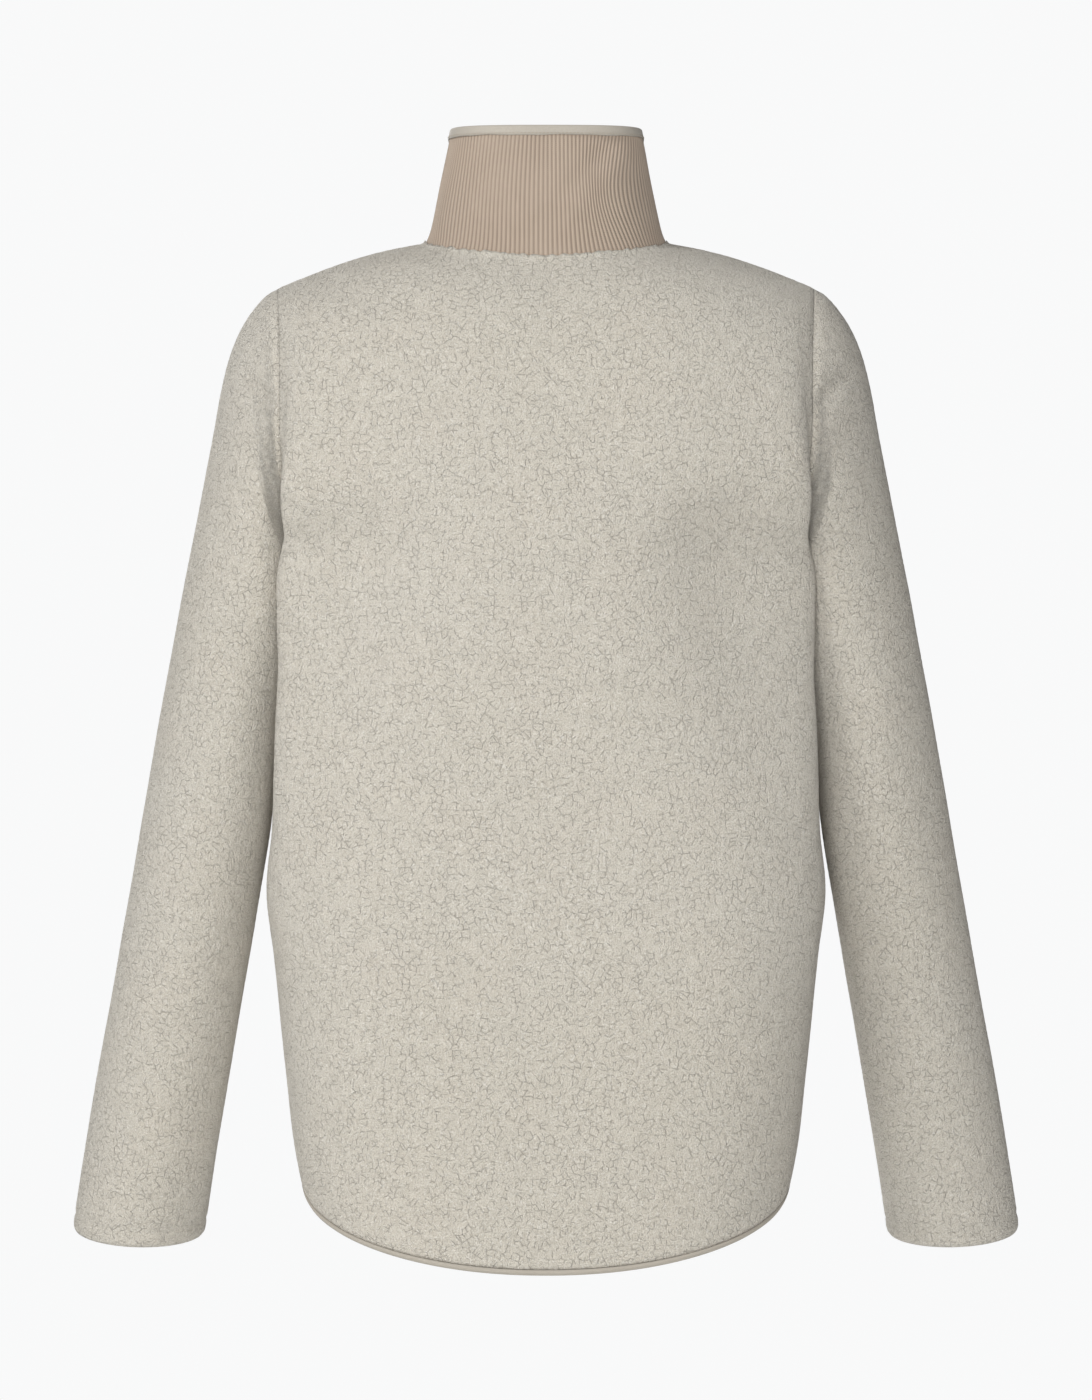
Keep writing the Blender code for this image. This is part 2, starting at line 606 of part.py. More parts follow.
def make_zip(front_inner, front_in, collar_inner, collar_normals, tape, metal):
    """Two tapes under the front edges, the chain between them, slider and pull."""
    # Rows from the hem up the front, then up the collar, on the wearer's left
    body = front_inner[::-1, :2]
    body_in = front_in[::-1]
    neck = collar_inner[1:, -2:][:, ::-1]
    neck_in = unit(collar_normals[1:, -1])
    # Where the collar wall is thinner than the fleece, its first row keeps to the wall
    rows = np.concatenate([body, neck])
    into = np.concatenate([body_in, neck_in])
    into[:, 0] = 0.0
    into = unit(into)

    def at_x(x):
        share = (x - rows[:, 0, 0]) / (rows[:, 1, 0] - rows[:, 0, 0])
        return rows[:, 0] + (rows[:, 1] - rows[:, 0]) * share[:, None]

    near, far = at_x(TAPE_INNER_X), at_x(TAPE_OUTER_X)
    section = [near + into * SEAT, far + into * SEAT,
               far + into * (SEAT + TAPE), near + into * (SEAT + TAPE)]
    left = np.stack(section, axis=1)[:-1]
    bar("zip_tape_left", left, tape)
    bar("zip_tape_right", mirrored(left), tape)

    # Chain in the middle of the tapes' thickness, ending under the slider's post
    path = near + into * (SEAT + TAPE / 2)
    path[:, 0] = 0.0
    arc = np.concatenate([[0.0], np.cumsum(np.linalg.norm(np.diff(path, axis=0), axis=1))])
    first_collar = len(body)
    slider_arc = arc[first_collar] + (arc[-1] - arc[first_collar]) * SLIDER_SHARE
    post_start = SLIDER_HALF_LENGTH - POST_LENGTH
    chain_end = slider_arc + post_start - SEAT
    centre = np.array([np.interp(slider_arc, arc, path[:, k]) for k in range(3)])
    top_row = int(np.searchsorted(arc, chain_end))
    end = np.array([np.interp(chain_end, arc, path[:, k]) for k in range(3)])
    line = np.concatenate([path[:top_row], end[None]])
    face = np.concatenate([into[:top_row], into[top_row][None]])
    half_x = np.array([CHAIN_HALF_WIDTH, 0.0, 0.0])
    deep = face * CHAIN_HALF_THICKNESS
    bar("zip_chain", np.stack([line - half_x - deep, line + half_x - deep,
                               line + half_x + deep, line - half_x + deep], axis=1), tape)

    # Slider: local directions x, out of the jacket, and up along the zip
    up = unit(path[top_row] - path[top_row - 1])
    out = np.cross(np.array([1.0, 0.0, 0.0]), up)
    out = out if out[1] < 0 else -out

    def place(x, outward, along):
        return centre + np.array([x, 0.0, 0.0]) + out * outward + up * along

    def profile_bar(half_width, x_middle, outline):
        """An outline of (outward, along) points, extruded across."""
        ends = [[place(x_middle + s * half_width, o, a) for o, a in outline] for s in (-1, 1)]
        return np.array(ends)

    face_out = CHAIN_HALF_THICKNESS + SEAT
    plate_out = face_out + SLIDER_PLATE
    pivot_out = plate_out + SEAT + PULL_THICKNESS / 2 + PIVOT_OUT
    make_slider(profile_bar, face_out, plate_out, pivot_out, metal)

    # Pull: a flat bar with a round barrel at its top
    barrel = [(pivot_out + BARREL_RADIUS * math.cos(a), PIVOT_ALONG + BARREL_RADIUS * math.sin(a))
              for a in np.radians(np.arange(-30, 191, 20))]
    back = plate_out + SEAT
    foot = PIVOT_ALONG - PULL_LENGTH
    outline = [(back, foot), (back + PULL_THICKNESS, foot),
               (back + PULL_THICKNESS, PIVOT_ALONG - PULL_NECK)]
    outline += barrel + [(back, PIVOT_ALONG - PULL_NECK_BACK)]
    pull = bar("zip_pull", profile_bar(PULL_HALF_WIDTH, 0.0, outline), metal)
    pivot = place(0.0, pivot_out, PIVOT_ALONG)
    print("pull hinge, mm:", np.round(pivot, 4).tolist())
    print("slider middle, mm:", np.round(centre, 3).tolist(), "up", np.round(up, 5).tolist())
    move = pivot * MM
    pull.data.transform(Matrix.Translation((-move).tolist()))
    pull.location = move


def make_slider(profile_bar, face_out, plate_out, pivot_out, look):
    """Front and back plate joined by a post, with two lugs for the pull."""
    half = SLIDER_HALF_LENGTH
    post = half - POST_LENGTH
    plates = [(-plate_out, -half), (-face_out, -half), (-face_out, post), (face_out, post),
              (face_out, -half), (plate_out, -half), (plate_out, half), (-plate_out, half)]
    body = bar("zip_slider", profile_bar(POST_HALF_WIDTH, 0.0, plates), look)
    sides = []
    for s in (-1, 1):
        middle = s * (POST_HALF_WIDTH + SLIDER_HALF_WIDTH) / 2
        width = (SLIDER_HALF_WIDTH - POST_HALF_WIDTH) / 2 + WING_BITE
        for low, high in ((-plate_out, -face_out), (face_out, plate_out)):
            flat = [(low, -half), (high, -half), (high, half), (low, half)]
            sides.append(bar("wing", profile_bar(width, middle, flat), look))
        lug_top = pivot_out + BARREL_RADIUS
        root = plate_out - LUG_BITE
        lug = [(root, PIVOT_ALONG - LUG_ROOT), (lug_top, PIVOT_ALONG - LUG_TIP),
               (lug_top, PIVOT_ALONG + LUG_TIP), (root, PIVOT_ALONG + LUG_ROOT)]
        lug_x = s * (PULL_HALF_WIDTH + SEAT + LUG / 2)
        sides.append(bar("lug", profile_bar(LUG / 2, lug_x, lug), look))
    for piece in sides:
        piece.hide_render = True
        join = body.modifiers.new("join", "BOOLEAN")
        join.operation = "UNION"
        join.solver = "EXACT"
        join.object = piece
    bpy.context.view_layer.update()
    whole = bpy.data.meshes.new_from_object(body.evaluated_get(bpy.context.evaluated_depsgraph_get()))
    body.modifiers.clear()
    body.data = whole
    for piece in sides:
        bpy.data.objects.remove(piece, do_unlink=True)


main()
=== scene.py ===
# %% [markdown]
# # A borg fleece jacket
# The jacket is shown from behind, filled out as if worn: a curly cream fleece body
# with a curved hem, hanging sleeves, and a funnel collar in taupe rib knit with a
# smooth tape over its edge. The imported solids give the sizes. This lesson dresses
# them: each cloth piece becomes a fine surface worked out with numpy on the same
# form, with the pile, ribs and stitches that the plain solids leave out.

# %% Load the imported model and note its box
import math

import bmesh
import bpy
import numpy as np
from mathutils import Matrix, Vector


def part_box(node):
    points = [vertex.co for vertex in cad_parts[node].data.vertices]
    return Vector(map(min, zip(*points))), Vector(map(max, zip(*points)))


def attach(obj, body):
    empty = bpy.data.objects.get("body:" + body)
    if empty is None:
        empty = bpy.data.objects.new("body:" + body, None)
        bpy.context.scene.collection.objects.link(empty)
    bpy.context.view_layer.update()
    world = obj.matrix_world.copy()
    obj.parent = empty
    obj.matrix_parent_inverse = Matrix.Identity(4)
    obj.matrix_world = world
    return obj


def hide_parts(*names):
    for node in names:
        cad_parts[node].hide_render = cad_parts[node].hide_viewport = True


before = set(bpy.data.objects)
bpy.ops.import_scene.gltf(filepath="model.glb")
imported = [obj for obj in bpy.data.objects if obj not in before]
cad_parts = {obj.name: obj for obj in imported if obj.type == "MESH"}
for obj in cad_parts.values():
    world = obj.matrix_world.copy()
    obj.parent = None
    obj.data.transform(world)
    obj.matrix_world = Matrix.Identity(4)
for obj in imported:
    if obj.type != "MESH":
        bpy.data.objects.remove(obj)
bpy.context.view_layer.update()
JACKET = "jacket"
MM = 0.001

# %% [markdown]
# ## Curves through short tables
# The form of a garment is easiest to hold in a few numbers at named stations, as a
# pattern cutter's size chart does. Between stations a cubic curve keeps the cloth
# smooth. One helper reads a table, and one reads the curve at any place, for whole
# arrays at once.

# %% Tables and smooth curves
def columns(names, rows):
    """A table as a dict of arrays, one for each named column."""
    data = np.array(rows, dtype=float)
    return {name: data[:, k] for k, name in enumerate(names.split())}


def smooth(at, stations, values):
    """Cubic through the table's points; a slope is its neighbours' weighted mean."""
    step = np.diff(stations)
    chord = np.diff(values) / step
    inner = (chord[1:] * step[:-1] + chord[:-1] * step[1:]) / (step[1:] + step[:-1])
    slope = np.concatenate([chord[:1], inner, chord[-1:]])
    at = np.clip(at, stations[0], stations[-1])
    k = np.clip(np.searchsorted(stations, at, side="right") - 1, 0, len(step) - 1)
    t = (at - stations[k]) / step[k]
    start = (2 * t**3 - 3 * t**2 + 1) * values[k] + (t**3 - 2 * t**2 + t) * step[k] * slope[k]
    end = (3 * t**2 - 2 * t**3) * values[k + 1] + (t**3 - t**2) * step[k] * slope[k + 1]
    return start + end


def unit(vectors):
    """Vectors divided by their own length."""
    return vectors / np.maximum(np.linalg.norm(vectors, axis=-1, keepdims=True), 1e-9)


def arc_length(points, axis=0):
    """Length along a line of points, or along every line of a grid, from 0 at the first."""
    steps = np.linalg.norm(np.diff(points, axis=axis), axis=-1)
    start = np.zeros_like(np.take(steps, [0], axis))
    return np.concatenate([start, np.cumsum(steps, axis=axis)], axis=axis)


def follow(at, stations, line):
    """Points of a line, read straight between its stations."""
    return np.stack([np.interp(at, stations, line[:, k]) for k in range(3)], axis=-1)


def bell(at, middle, width):
    """exp(-(distance / width)^2): 1 at the middle, about a third at one width from it."""
    return np.exp(-((at - middle) / width) ** 2)


def beside_line(line, x, z):
    """Share of the way along a straight line in x and z, and distance off it in mm."""
    run_x, run_z = np.diff(line["x"])[0], np.diff(line["z"])[0]
    length = math.hypot(run_x, run_z)
    run = ((x - line["x"][0]) * run_x + (z - line["z"][0]) * run_z) / length**2
    off = ((x - line["x"][0]) * run_z - (z - line["z"][0]) * run_x) / length
    return run, off


# %% [markdown]
# ## The jacket's size chart
# These are the jacket's sizes in millimetres: walls, neck, shoulder line, armhole,
# side seam and sleeve rings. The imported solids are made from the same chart, so the
# fine cloth lies on them from every side. Only the armhole's bow and the fold under
# the arm are a little fuller here, as in the photograph.

# %% Sizes in millimetres
FLEECE, RIB, TAPE = 4.5, 3.0, 1.0
SEAM_TRIM, SEAT = 0.17, 0.3          # half the gap in a seam, and the air under a tape
NECK_HALF_WIDTH = 84.0
COLLAR_TOP_HALF_WIDTH, COLLAR_TOP_HALF_DEPTH = 66.0, 59.0
COLLAR_TOP_BACK_Z, COLLAR_TOP_SIDE_Z, COLLAR_TOP_FRONT_Z = 74.0, 77.0, 61.0
COLLAR_SQUARENESS, COLLAR_TOP_DIP = 2.8, 1.5
COLLAR_FLARE, COLLAR_FLARE_REACH = 0.12, 0.06   # shares of the way in, and of the height
COLLAR_HEIGHT = 92.0
BINDING_DEPTH = 6.0
SHOULDER_TIP, SHOULDER_BEND = (187.5, -31.35), 1.42
UNDERARM_Z = -213.0
ARMHOLE_BOW, ARMHOLE_BOW_RINGS = 13.5, 4.0   # and the rings over which it fades
ARMHOLE_DROP = 1.25                  # power by which the bow grows to the underarm
HEM_BAND = 3.8
FRONT_EDGE_X = 6.0
RIBS_PER_HALF = 78

# Rows of the body: 0 neckline, 1 shoulder tip, 2 underarm, 3 hem
BODY = columns("row back_y back_z front_y front_z squareness turn rise crest", [
    (0.0, 72, -17, -78, -45, 2.3, 90, 1.5, 0),
    (0.5, 93, -46, -89, -68, 2.4, 74, 1.6, 0.8),
    (1.0, 106, -78, -99, -96, 2.5, 58, 1.7, 1),
    (1.5, 117, -152, -113, -162, 2.8, 52, 1.8, 0.5),
    (2.0, 120, -228, -120, -228, 2.9, 60, 1.8, 0),
    (2.3, 113, -371, -122, -365, 3.0, 88, 1.9, 0),
    (2.6, 112, -514, -120, -502, 2.9, 90, 1.9, 0),
    (3.0, 118, -704, -118, -684, 2.7, 90, 2.1, 0),
])
# Side seam, then how far each panel folds out beside it, where the arm presses it in
SIDE = columns("z x", [
    (-213, 152), (-225, 155), (-260, 160), (-330, 174), (-400, 187.5), (-440, 194),
    (-488, 189.5), (-530, 185.5), (-572, 181), (-614, 176), (-638, 171),
])
FOLD = columns("row back front", [
    (1.2, 0, 0), (1.4, 6, 5), (1.6, 17, 15), (1.75, 30, 25), (1.9, 43, 32), (2.0, 49, 35),
    (2.107, 42, 29), (2.2, 30, 22), (2.266, 23, 17), (2.35, 14.5, 13), (2.426, 8.5, 9),
    (2.517, 4, 5), (2.7, 0, 0),
])
FOLD_PLACE, FOLD_WIDTH, FOLD_END = 0.75, 0.17, 0.12
# Rings of a sleeve, from the armhole to the cuff
SLEEVE = columns("ring outer_x outer_z inner_x inner_z half_depth middle_y lean", [
    (0, 187.5, -31.35, 152, -213, 70, 0, 0),
    (1, 198, -40, 158, -216.5, 69, 0, 0),
    (2, 209, -54, 163, -222, 67, 0, 0),
    (3, 217, -69, 166, -231, 65, -0.5, 0.5),
    (4, 223, -86, 168, -243, 63, -1.5, 1),
    (5, 228, -107, 171, -258, 61, -3, 2),
    (6, 232.5, -132, 174.5, -277, 59, -5, 3),
    (7, 238.5, -162, 178.5, -300, 57, -8, 4),
    (8, 247.5, -206, 184.5, -332, 55.5, -13, 5),
    (9, 259, -263, 190, -372, 54, -18.5, 7),
    (10, 270.2, -320, 195.4, -419, 53, -26, 8),
    (11, 285.8, -405, 206.3, -480, 51, -37, 9),
    (12, 303.5, -501, 219.5, -554, 49.5, -50.5, 9),
    (13, 322.1, -598, 232.5, -626, 48.5, -64, 9),
    (14, 335.5, -675, 241.8, -683, 48, -76, 9.3),
    (14.6, 337.3, -686, 243.2, -692, 47.4, -77.7, 9.3),
    (15, 339, -697, 244.5, -701.5, 48, -79.4, 9.3),
])
# A crease over the sleeve's cap
CREASE = columns("x z", [(183, -118), (215, -90)])
CREASE_DEPTH, CREASE_HALF_WIDTH = 3.5, 9.0


# %% [markdown]
# ## The sleeve as a surface
# A set-in sleeve is a tube that starts as the tall oval of the armhole and ends as
# a small round cuff. Each ring is an ellipse through one outer and one inner point,
# and the depth leans forward as an arm does. A soft trough runs over the cap, where
# the cloth folds under the shoulder.

# %% Sleeve rings
def sleeve_surface(ring, angle):
    """Ellipse: middle + half span * cos(angle) + half depth * sin(angle).

    Angle 0 is the outer side, a quarter turn the back, half a turn the underarm.
    """
    row = {name: smooth(ring, SLEEVE["ring"], values) for name, values in SLEEVE.items()}
    lean, cos, sin = np.radians(row["lean"]), np.cos(angle), np.sin(angle)
    bow = ARMHOLE_BOW * np.exp(-(ring / ARMHOLE_BOW_RINGS) ** 2 - ARMHOLE_DROP * cos) * sin**2
    half_x = (row["outer_x"] - row["inner_x"]) / 2
    half_z = (row["outer_z"] - row["inner_z"]) / 2
    x = row["inner_x"] + half_x * (1 + cos) + bow
    y = row["middle_y"] + row["half_depth"] * sin * np.cos(lean)
    z = row["inner_z"] + half_z * (1 + cos) - row["half_depth"] * sin * np.sin(lean)
    run, off = beside_line(CREASE, x, z)
    trough = np.exp(-(off / CREASE_HALF_WIDTH) ** 2 - ((run - 0.5) / 0.5) ** 4)
    depth = CREASE_DEPTH * trough * sin**2 * np.minimum(ring, 1.0)
    return np.stack([x, y - depth * np.sign(sin), z], axis=-1)


# %% [markdown]
# ## The body as a surface
# Seen from above, a row of the back runs out from the middle line like a rounded
# oblong and ends on the shoulder, armhole or side seam. Beside the side seam the
# panel bulges and folds over the arm. All rows are worked out together: each is
# traced finely, measured, and read again at even shares of its length.

# %% Body rows
CURVE_POINTS = 400    # points that trace a row or the collar's top


def edge_line(row, side):
    """Shoulder seam for rows 0 to 1, half the armhole to 2, the side seam to 3."""
    share = np.clip(row, 0.0, 1.0)
    x = NECK_HALF_WIDTH + (SHOULDER_TIP[0] - NECK_HALF_WIDTH) * share
    shoulder = np.stack([x, np.zeros_like(x), SHOULDER_TIP[1] * share**SHOULDER_BEND], axis=-1)
    armhole = sleeve_surface(np.zeros_like(row), side * math.pi * np.clip(row - 1.0, 0.0, 1.0))
    z = UNDERARM_Z + (SIDE["z"][-1] - UNDERARM_Z) * np.clip(row - 2.0, 0.0, 1.0)
    seam = np.stack([smooth(-z, -SIDE["z"], SIDE["x"]), np.zeros_like(z), z], axis=-1)
    along = np.where(row[:, None] <= 2.0, armhole, seam)
    return np.where(row[:, None] <= 1.0, shoulder, along)


def body_surface(row, shares, side, start_x=0.0):
    """Superellipse rows from the middle line to the edge line, at shares of length.

    x = edge * sin(turn)^(2/n) and y falls with cos(turn)^(2/n). z rises to the edge
    as a power of the length, and the fold is a bell added to x near the edge.
    """
    now = {name: smooth(row, BODY["row"], values)[:, None] for name, values in BODY.items()}
    name = "back" if side > 0 else "front"
    edge = edge_line(row, side)
    last = np.radians(np.minimum(now["turn"], 90.0))
    part = np.linspace(0.0, 1.0, CURVE_POINTS)[None, :]
    power = 2.0 / now["squareness"]
    x = edge[:, :1] * (np.sin(last * part) / np.sin(last)) ** power
    drop = 1.0 - np.maximum(np.cos(last * part), 0.0) ** power
    y = now[name + "_y"] + (edge[:, 1:2] - now[name + "_y"]) * drop / drop[:, -1:]
    bulge = smooth(row, FOLD["row"], FOLD[name])[:, None]
    x = x + bulge * (bell(part, FOLD_PLACE, FOLD_WIDTH) * np.clip((1.0 - part) / FOLD_END, 0, 1))
    steps = np.hypot(np.diff(x, axis=1), np.diff(y, axis=1))
    share = np.concatenate([np.zeros_like(x[:, :1]), np.cumsum(steps, axis=1)], axis=1)
    share = share / share[:, -1:]
    rise = share ** now["rise"] * (1.0 + now["crest"] * now["rise"] * (1.0 - share))
    z = now[name + "_z"] + (edge[:, 2:] - now[name + "_z"]) * rise
    # One interpolation for all rows: row r keeps its shares between 2r and 2r + 1
    lift = 2.0 * np.arange(len(row))[:, None]
    first = np.sum(x < start_x, axis=1)
    before = share[np.arange(len(row)), first - 1] if start_x else np.zeros(len(row))
    at = (before[:, None] + (1.0 - before[:, None]) * shares[None, :]) + lift
    grid = [np.interp(at, (share + lift).ravel(), values.ravel()) for values in (x, y, z)]
    return np.stack(grid, axis=-1)


def face_in(grid, middle, closed=False):
    """Inward unit normals of a grid, from central differences along both ways."""
    down = np.gradient(grid, axis=0)
    across = np.gradient(grid, axis=1)
    if closed:
        across = (np.roll(grid, -1, axis=1) - np.roll(grid, 1, axis=1)) / 2
    normal = unit(np.cross(down, across))
    return normal if np.sum(normal * (middle - grid)) > 0 else -normal


# %% [markdown]
# ## Curly pile
# Borg is knitted with long loops that curl into small clumps, each no larger than a
# lentil. Hair would be far too heavy for a whole jacket, so the clumps are raised in
# the surface. Every point of a panel knows its place on the flat cloth, across and
# down, and cells laid out on that flat cloth are the clumps. The same cells are read
# again by the finish, so its thin gaps of painted shade fall into the valleys of the mesh.

# %% Clumps on the flat cloth
def waves(points, size, salt):
    """Soft noise from -1 to 1: the mean of three sine waves that the other axes bend."""
    turned = points / size * 2 * math.pi
    a = np.sin(turned[..., 0] + 1.7 * np.sin(turned[..., 2] * 0.61 + salt))
    b = np.sin(turned[..., 2] + 1.3 * np.sin(turned[..., 0] * 0.73 - salt) + salt)
    c = np.sin(turned[..., 1] * 1.1 + turned[..., 2] * 0.5 + 2 * salt)
    return (a + b + c) / 3


CLUMP = 4.4           # mm, from one clump's middle to the next
CLUMP_HEIGHT = 0.32   # mm from valley to top
DRIFT_HEIGHT = 0.20   # mm, slow unevenness over a hand's width
SEAM_DEPTH = 1.2      # mm that a seam draws the pile in
SEAM_WIDTH = 4.5      # mm on each side of a seam
VALLEY = 0.30         # share of a cell that rises from the gap to the clump's top


def cell_reader():
    """A node group that stores each point's distance to the nearest gap, in cells."""
    tree = bpy.data.node_groups.new("clump_cells", "GeometryNodeTree")
    tree.interface.new_socket("Geometry", in_out="INPUT", socket_type="NodeSocketGeometry")
    tree.interface.new_socket("Geometry", in_out="OUTPUT", socket_type="NodeSocketGeometry")
    start, end = tree.nodes.new("NodeGroupInput"), tree.nodes.new("NodeGroupOutput")
    place = tree.nodes.new("GeometryNodeInputPosition")
    cells = tree.nodes.new("ShaderNodeTexVoronoi")
    cells.voronoi_dimensions, cells.feature = "2D", "DISTANCE_TO_EDGE"
    cells.inputs["Scale"].default_value = 1.0
    store = tree.nodes.new("GeometryNodeStoreNamedAttribute")
    store.inputs["Name"].default_value = "gap"
    tree.links.new(start.outputs[0], store.inputs["Geometry"])
    tree.links.new(place.outputs[0], cells.inputs["Vector"])
    tree.links.new(cells.outputs["Distance"], store.inputs["Value"])
    tree.links.new(store.outputs[0], end.inputs[0])
    return tree


CELLS = cell_reader()


def gap_distance(across, down):
    """Blender's own cell pattern at places on the flat cloth, given in cells."""
    flat = np.stack([across, down, np.zeros_like(across)], axis=-1).astype(np.float32)
    mesh = bpy.data.meshes.new("flat_places")
    mesh.vertices.add(across.size)
    mesh.vertices.foreach_set("co", flat.ravel())
    places = bpy.data.objects.new("flat_places", mesh)
    bpy.context.scene.collection.objects.link(places)
    places.modifiers.new("cells", "NODES").node_group = CELLS
    found = places.evaluated_get(bpy.context.evaluated_depsgraph_get()).data.attributes["gap"]
    values = np.empty(across.size, dtype=np.float32)
    found.data.foreach_get("value", values)
    bpy.data.objects.remove(places)
    bpy.data.meshes.remove(mesh)
    return values.reshape(across.shape).astype(float)


def flat_places(grid, normals, downward, middle):
    """Places on the flat cloth in mm, across from the middle column and down.

    Each step along a row is split into a level part and a falling part, which are
    summed up, so the two places stay square to each other where rows lean.
    """
    level = unit(np.cross(normals, downward))
    level = level * np.sign(np.sum(np.diff(grid, axis=1) * level[:, 1:]))
    fall = np.cross(level, normals)
    fall = fall * np.sign(np.sum(fall * downward))

    def summed(way, axis):
        """Sum of each step's share of a way, which is taken halfway along the step."""
        steps = np.diff(grid, axis=axis)
        ways = np.delete(way, 0, axis) + np.delete(way, -1, axis)
        start = np.zeros_like(np.take(grid[..., 0], [0], axis))
        total = np.cumsum(np.sum(steps * ways, axis=2) / 2, axis=axis)
        return np.concatenate([start, total], axis=axis)

    across, drop = summed(level, 1), summed(fall, 1)
    across, drop = across - across[:, middle, None], drop - drop[:, middle, None]
    return across, drop + summed(fall, 0)[:, middle, None]


def flat_cells(points, across, down):
    """Places on the flat cloth in cells, drifting a little so that no rows show."""
    drift_across = 1.5 * waves(points, 23, 1) + 0.6 * waves(points, 11, 4)
    drift_down = 1.5 * waves(points, 21, 2) + 0.6 * waves(points, 12, 6)
    return (across + drift_across) / CLUMP, (down + drift_down) / CLUMP


def pile_relief(points, cells, edge_distance):
    """Height in mm of the pile over the plain wall, which a bell draws in at a seam.

    A clump rises as the square root of the distance from its gap.
    """
    clump = np.sqrt(np.clip(gap_distance(*cells) / VALLEY, 0.0, 1.0))
    height = CLUMP_HEIGHT * (clump - 0.75) + DRIFT_HEIGHT * waves(points, 90, 5)
    seam = bell(np.maximum(edge_distance, 0.0), 0.0, SEAM_WIDTH)
    return height * (1 - 0.5 * seam) - SEAM_DEPTH * seam


# %% [markdown]
# ## From grids to closed cloth
# Cloth has two faces. The outer one carries the pile on a fine grid, the inner one
# is plain, so it takes a coarse grid and saves faces. Along each rim a strip of
# triangles joins many points to few, and the piece is one closed shell.

# %% Mesh builders
COARSE = 4            # fine steps for each step of the inner face
LEAST_COSINE = 0.45   # a seam's wall grows no longer than this allows


def fan_strip(fine, coarse):
    """Triangles between a line of fine points and every COARSE-th point's partner."""
    spans = len(coarse) - 1
    j = np.arange(spans)
    step = np.arange(COARSE)
    i = (j[:, None] * COARSE + step).ravel()
    near = np.where(np.tile(step, spans) < COARSE // 2, np.repeat(coarse[:-1], COARSE),
                    np.repeat(coarse[1:], COARSE))
    fans = np.stack([fine[i], fine[i + 1], near], axis=1)
    middles = np.stack([coarse[:-1], fine[j * COARSE + COARSE // 2], coarse[1:]], axis=1)
    return np.concatenate([fans, middles])


def quads(index):
    """Four corners of every cell of a grid of point numbers."""
    a, b, c, d = index[:-1, :-1], index[:-1, 1:], index[1:, 1:], index[1:, :-1]
    return np.stack([a, b, c, d], axis=-1).reshape(-1, 4)


def make_mesh(name, points, faces4, faces3, layers=None):
    """A mesh from arrays, smooth shaded, with its faces turned outward."""
    mesh = bpy.data.meshes.new(name)
    corners = np.concatenate([faces4.ravel(), faces3.ravel()]).astype(np.int32)
    sizes = np.concatenate([np.full(len(faces4), 4), np.full(len(faces3), 3)]).astype(np.int32)
    mesh.vertices.add(len(points))
    mesh.vertices.foreach_set("co", (points * MM).astype(np.float32).ravel())
    mesh.loops.add(len(corners))
    mesh.loops.foreach_set("vertex_index", corners)
    mesh.polygons.add(len(sizes))
    starts = np.concatenate([[0], np.cumsum(sizes)[:-1]]).astype(np.int32)
    mesh.polygons.foreach_set("loop_start", starts)
    mesh.polygons.foreach_set("loop_total", sizes)
    mesh.update(calc_edges=True)
    for layer, values in (layers or {}).items():
        attribute = mesh.attributes.new(layer, "FLOAT", "POINT")
        attribute.data.foreach_set("value", values.astype(np.float32).ravel())
    mesh.polygons.foreach_set("use_smooth", np.ones(len(sizes), dtype=bool))
    made = bpy.data.objects.new(name, mesh)
    bpy.context.scene.collection.objects.link(made)
    turn_outward(mesh)
    return made


def turn_outward(mesh):
    """One consistent side for all faces, and a positive volume."""
    work = bmesh.new()
    work.from_mesh(mesh)
    bmesh.ops.recalc_face_normals(work, faces=work.faces)
    if work.calc_volume(signed=True) < 0:
        bmesh.ops.reverse_faces(work, faces=work.faces)
    work.to_mesh(mesh)
    work.free()


def cloth(name, outer, inner, closed, layers):
    """Fine outer grid and coarse inner grid joined along their rims.

    A closed piece is a tube: its last column meets its first again.
    """
    if closed:
        outer = np.concatenate([outer, outer[:, :1]], axis=1)
        inner = np.concatenate([inner, inner[:, :1]], axis=1)
    rows, count = outer.shape[:2]
    fine = np.arange(rows * count).reshape(rows, count)
    coarse = rows * count + np.arange(inner.shape[0] * inner.shape[1]).reshape(inner.shape[:2])
    points = np.concatenate([outer.reshape(-1, 3), inner.reshape(-1, 3)])
    if closed:
        fine[:, -1], coarse[:, -1] = fine[:, 0], coarse[:, 0]
    strips = [fan_strip(fine[0], coarse[0]), fan_strip(fine[-1], coarse[-1])]
    if not closed:
        strips += [fan_strip(fine[:, 0], coarse[:, 0]), fan_strip(fine[:, -1], coarse[:, -1])]
    faces4 = np.concatenate([quads(fine), quads(coarse)])
    faces3 = np.concatenate(strips)
    values = {}
    for layer, (grid, plain) in layers.items():
        if closed:
            grid = np.concatenate([grid, grid[:, :1]], axis=1)
            plain = np.concatenate([plain, plain[:, :1]], axis=1)
        values[layer] = np.concatenate([grid.ravel(), plain.ravel()])
    used = np.unique(np.concatenate([faces4.ravel(), faces3.ravel()]))
    lookup = np.zeros(len(points), dtype=int)
    lookup[used] = np.arange(len(used))
    values = {layer: v[used] for layer, v in values.items()}
    made = make_mesh(name, points[used], lookup[faces4], lookup[faces3], values)
    print(f"{name}: {len(used)} points, {2 * len(faces4) + len(faces3)} triangles")
    return made


def thicken(direction, normals, thickness):
    """Thickness measured square to a face but taken along a seam's shared direction."""
    cosine = np.clip(np.sum(direction * normals, axis=-1, keepdims=True), LEAST_COSINE, 1.0)
    return direction * (thickness / cosine)


# %% [markdown]
# ## The plain form first
# Back, front and sleeve are laid out on fine grids for the wearer's left. Where two
# pieces meet, their walls are cut along one shared direction, a mitre, so the seam
# closes right through the cloth. The right half is the same, mirrored.

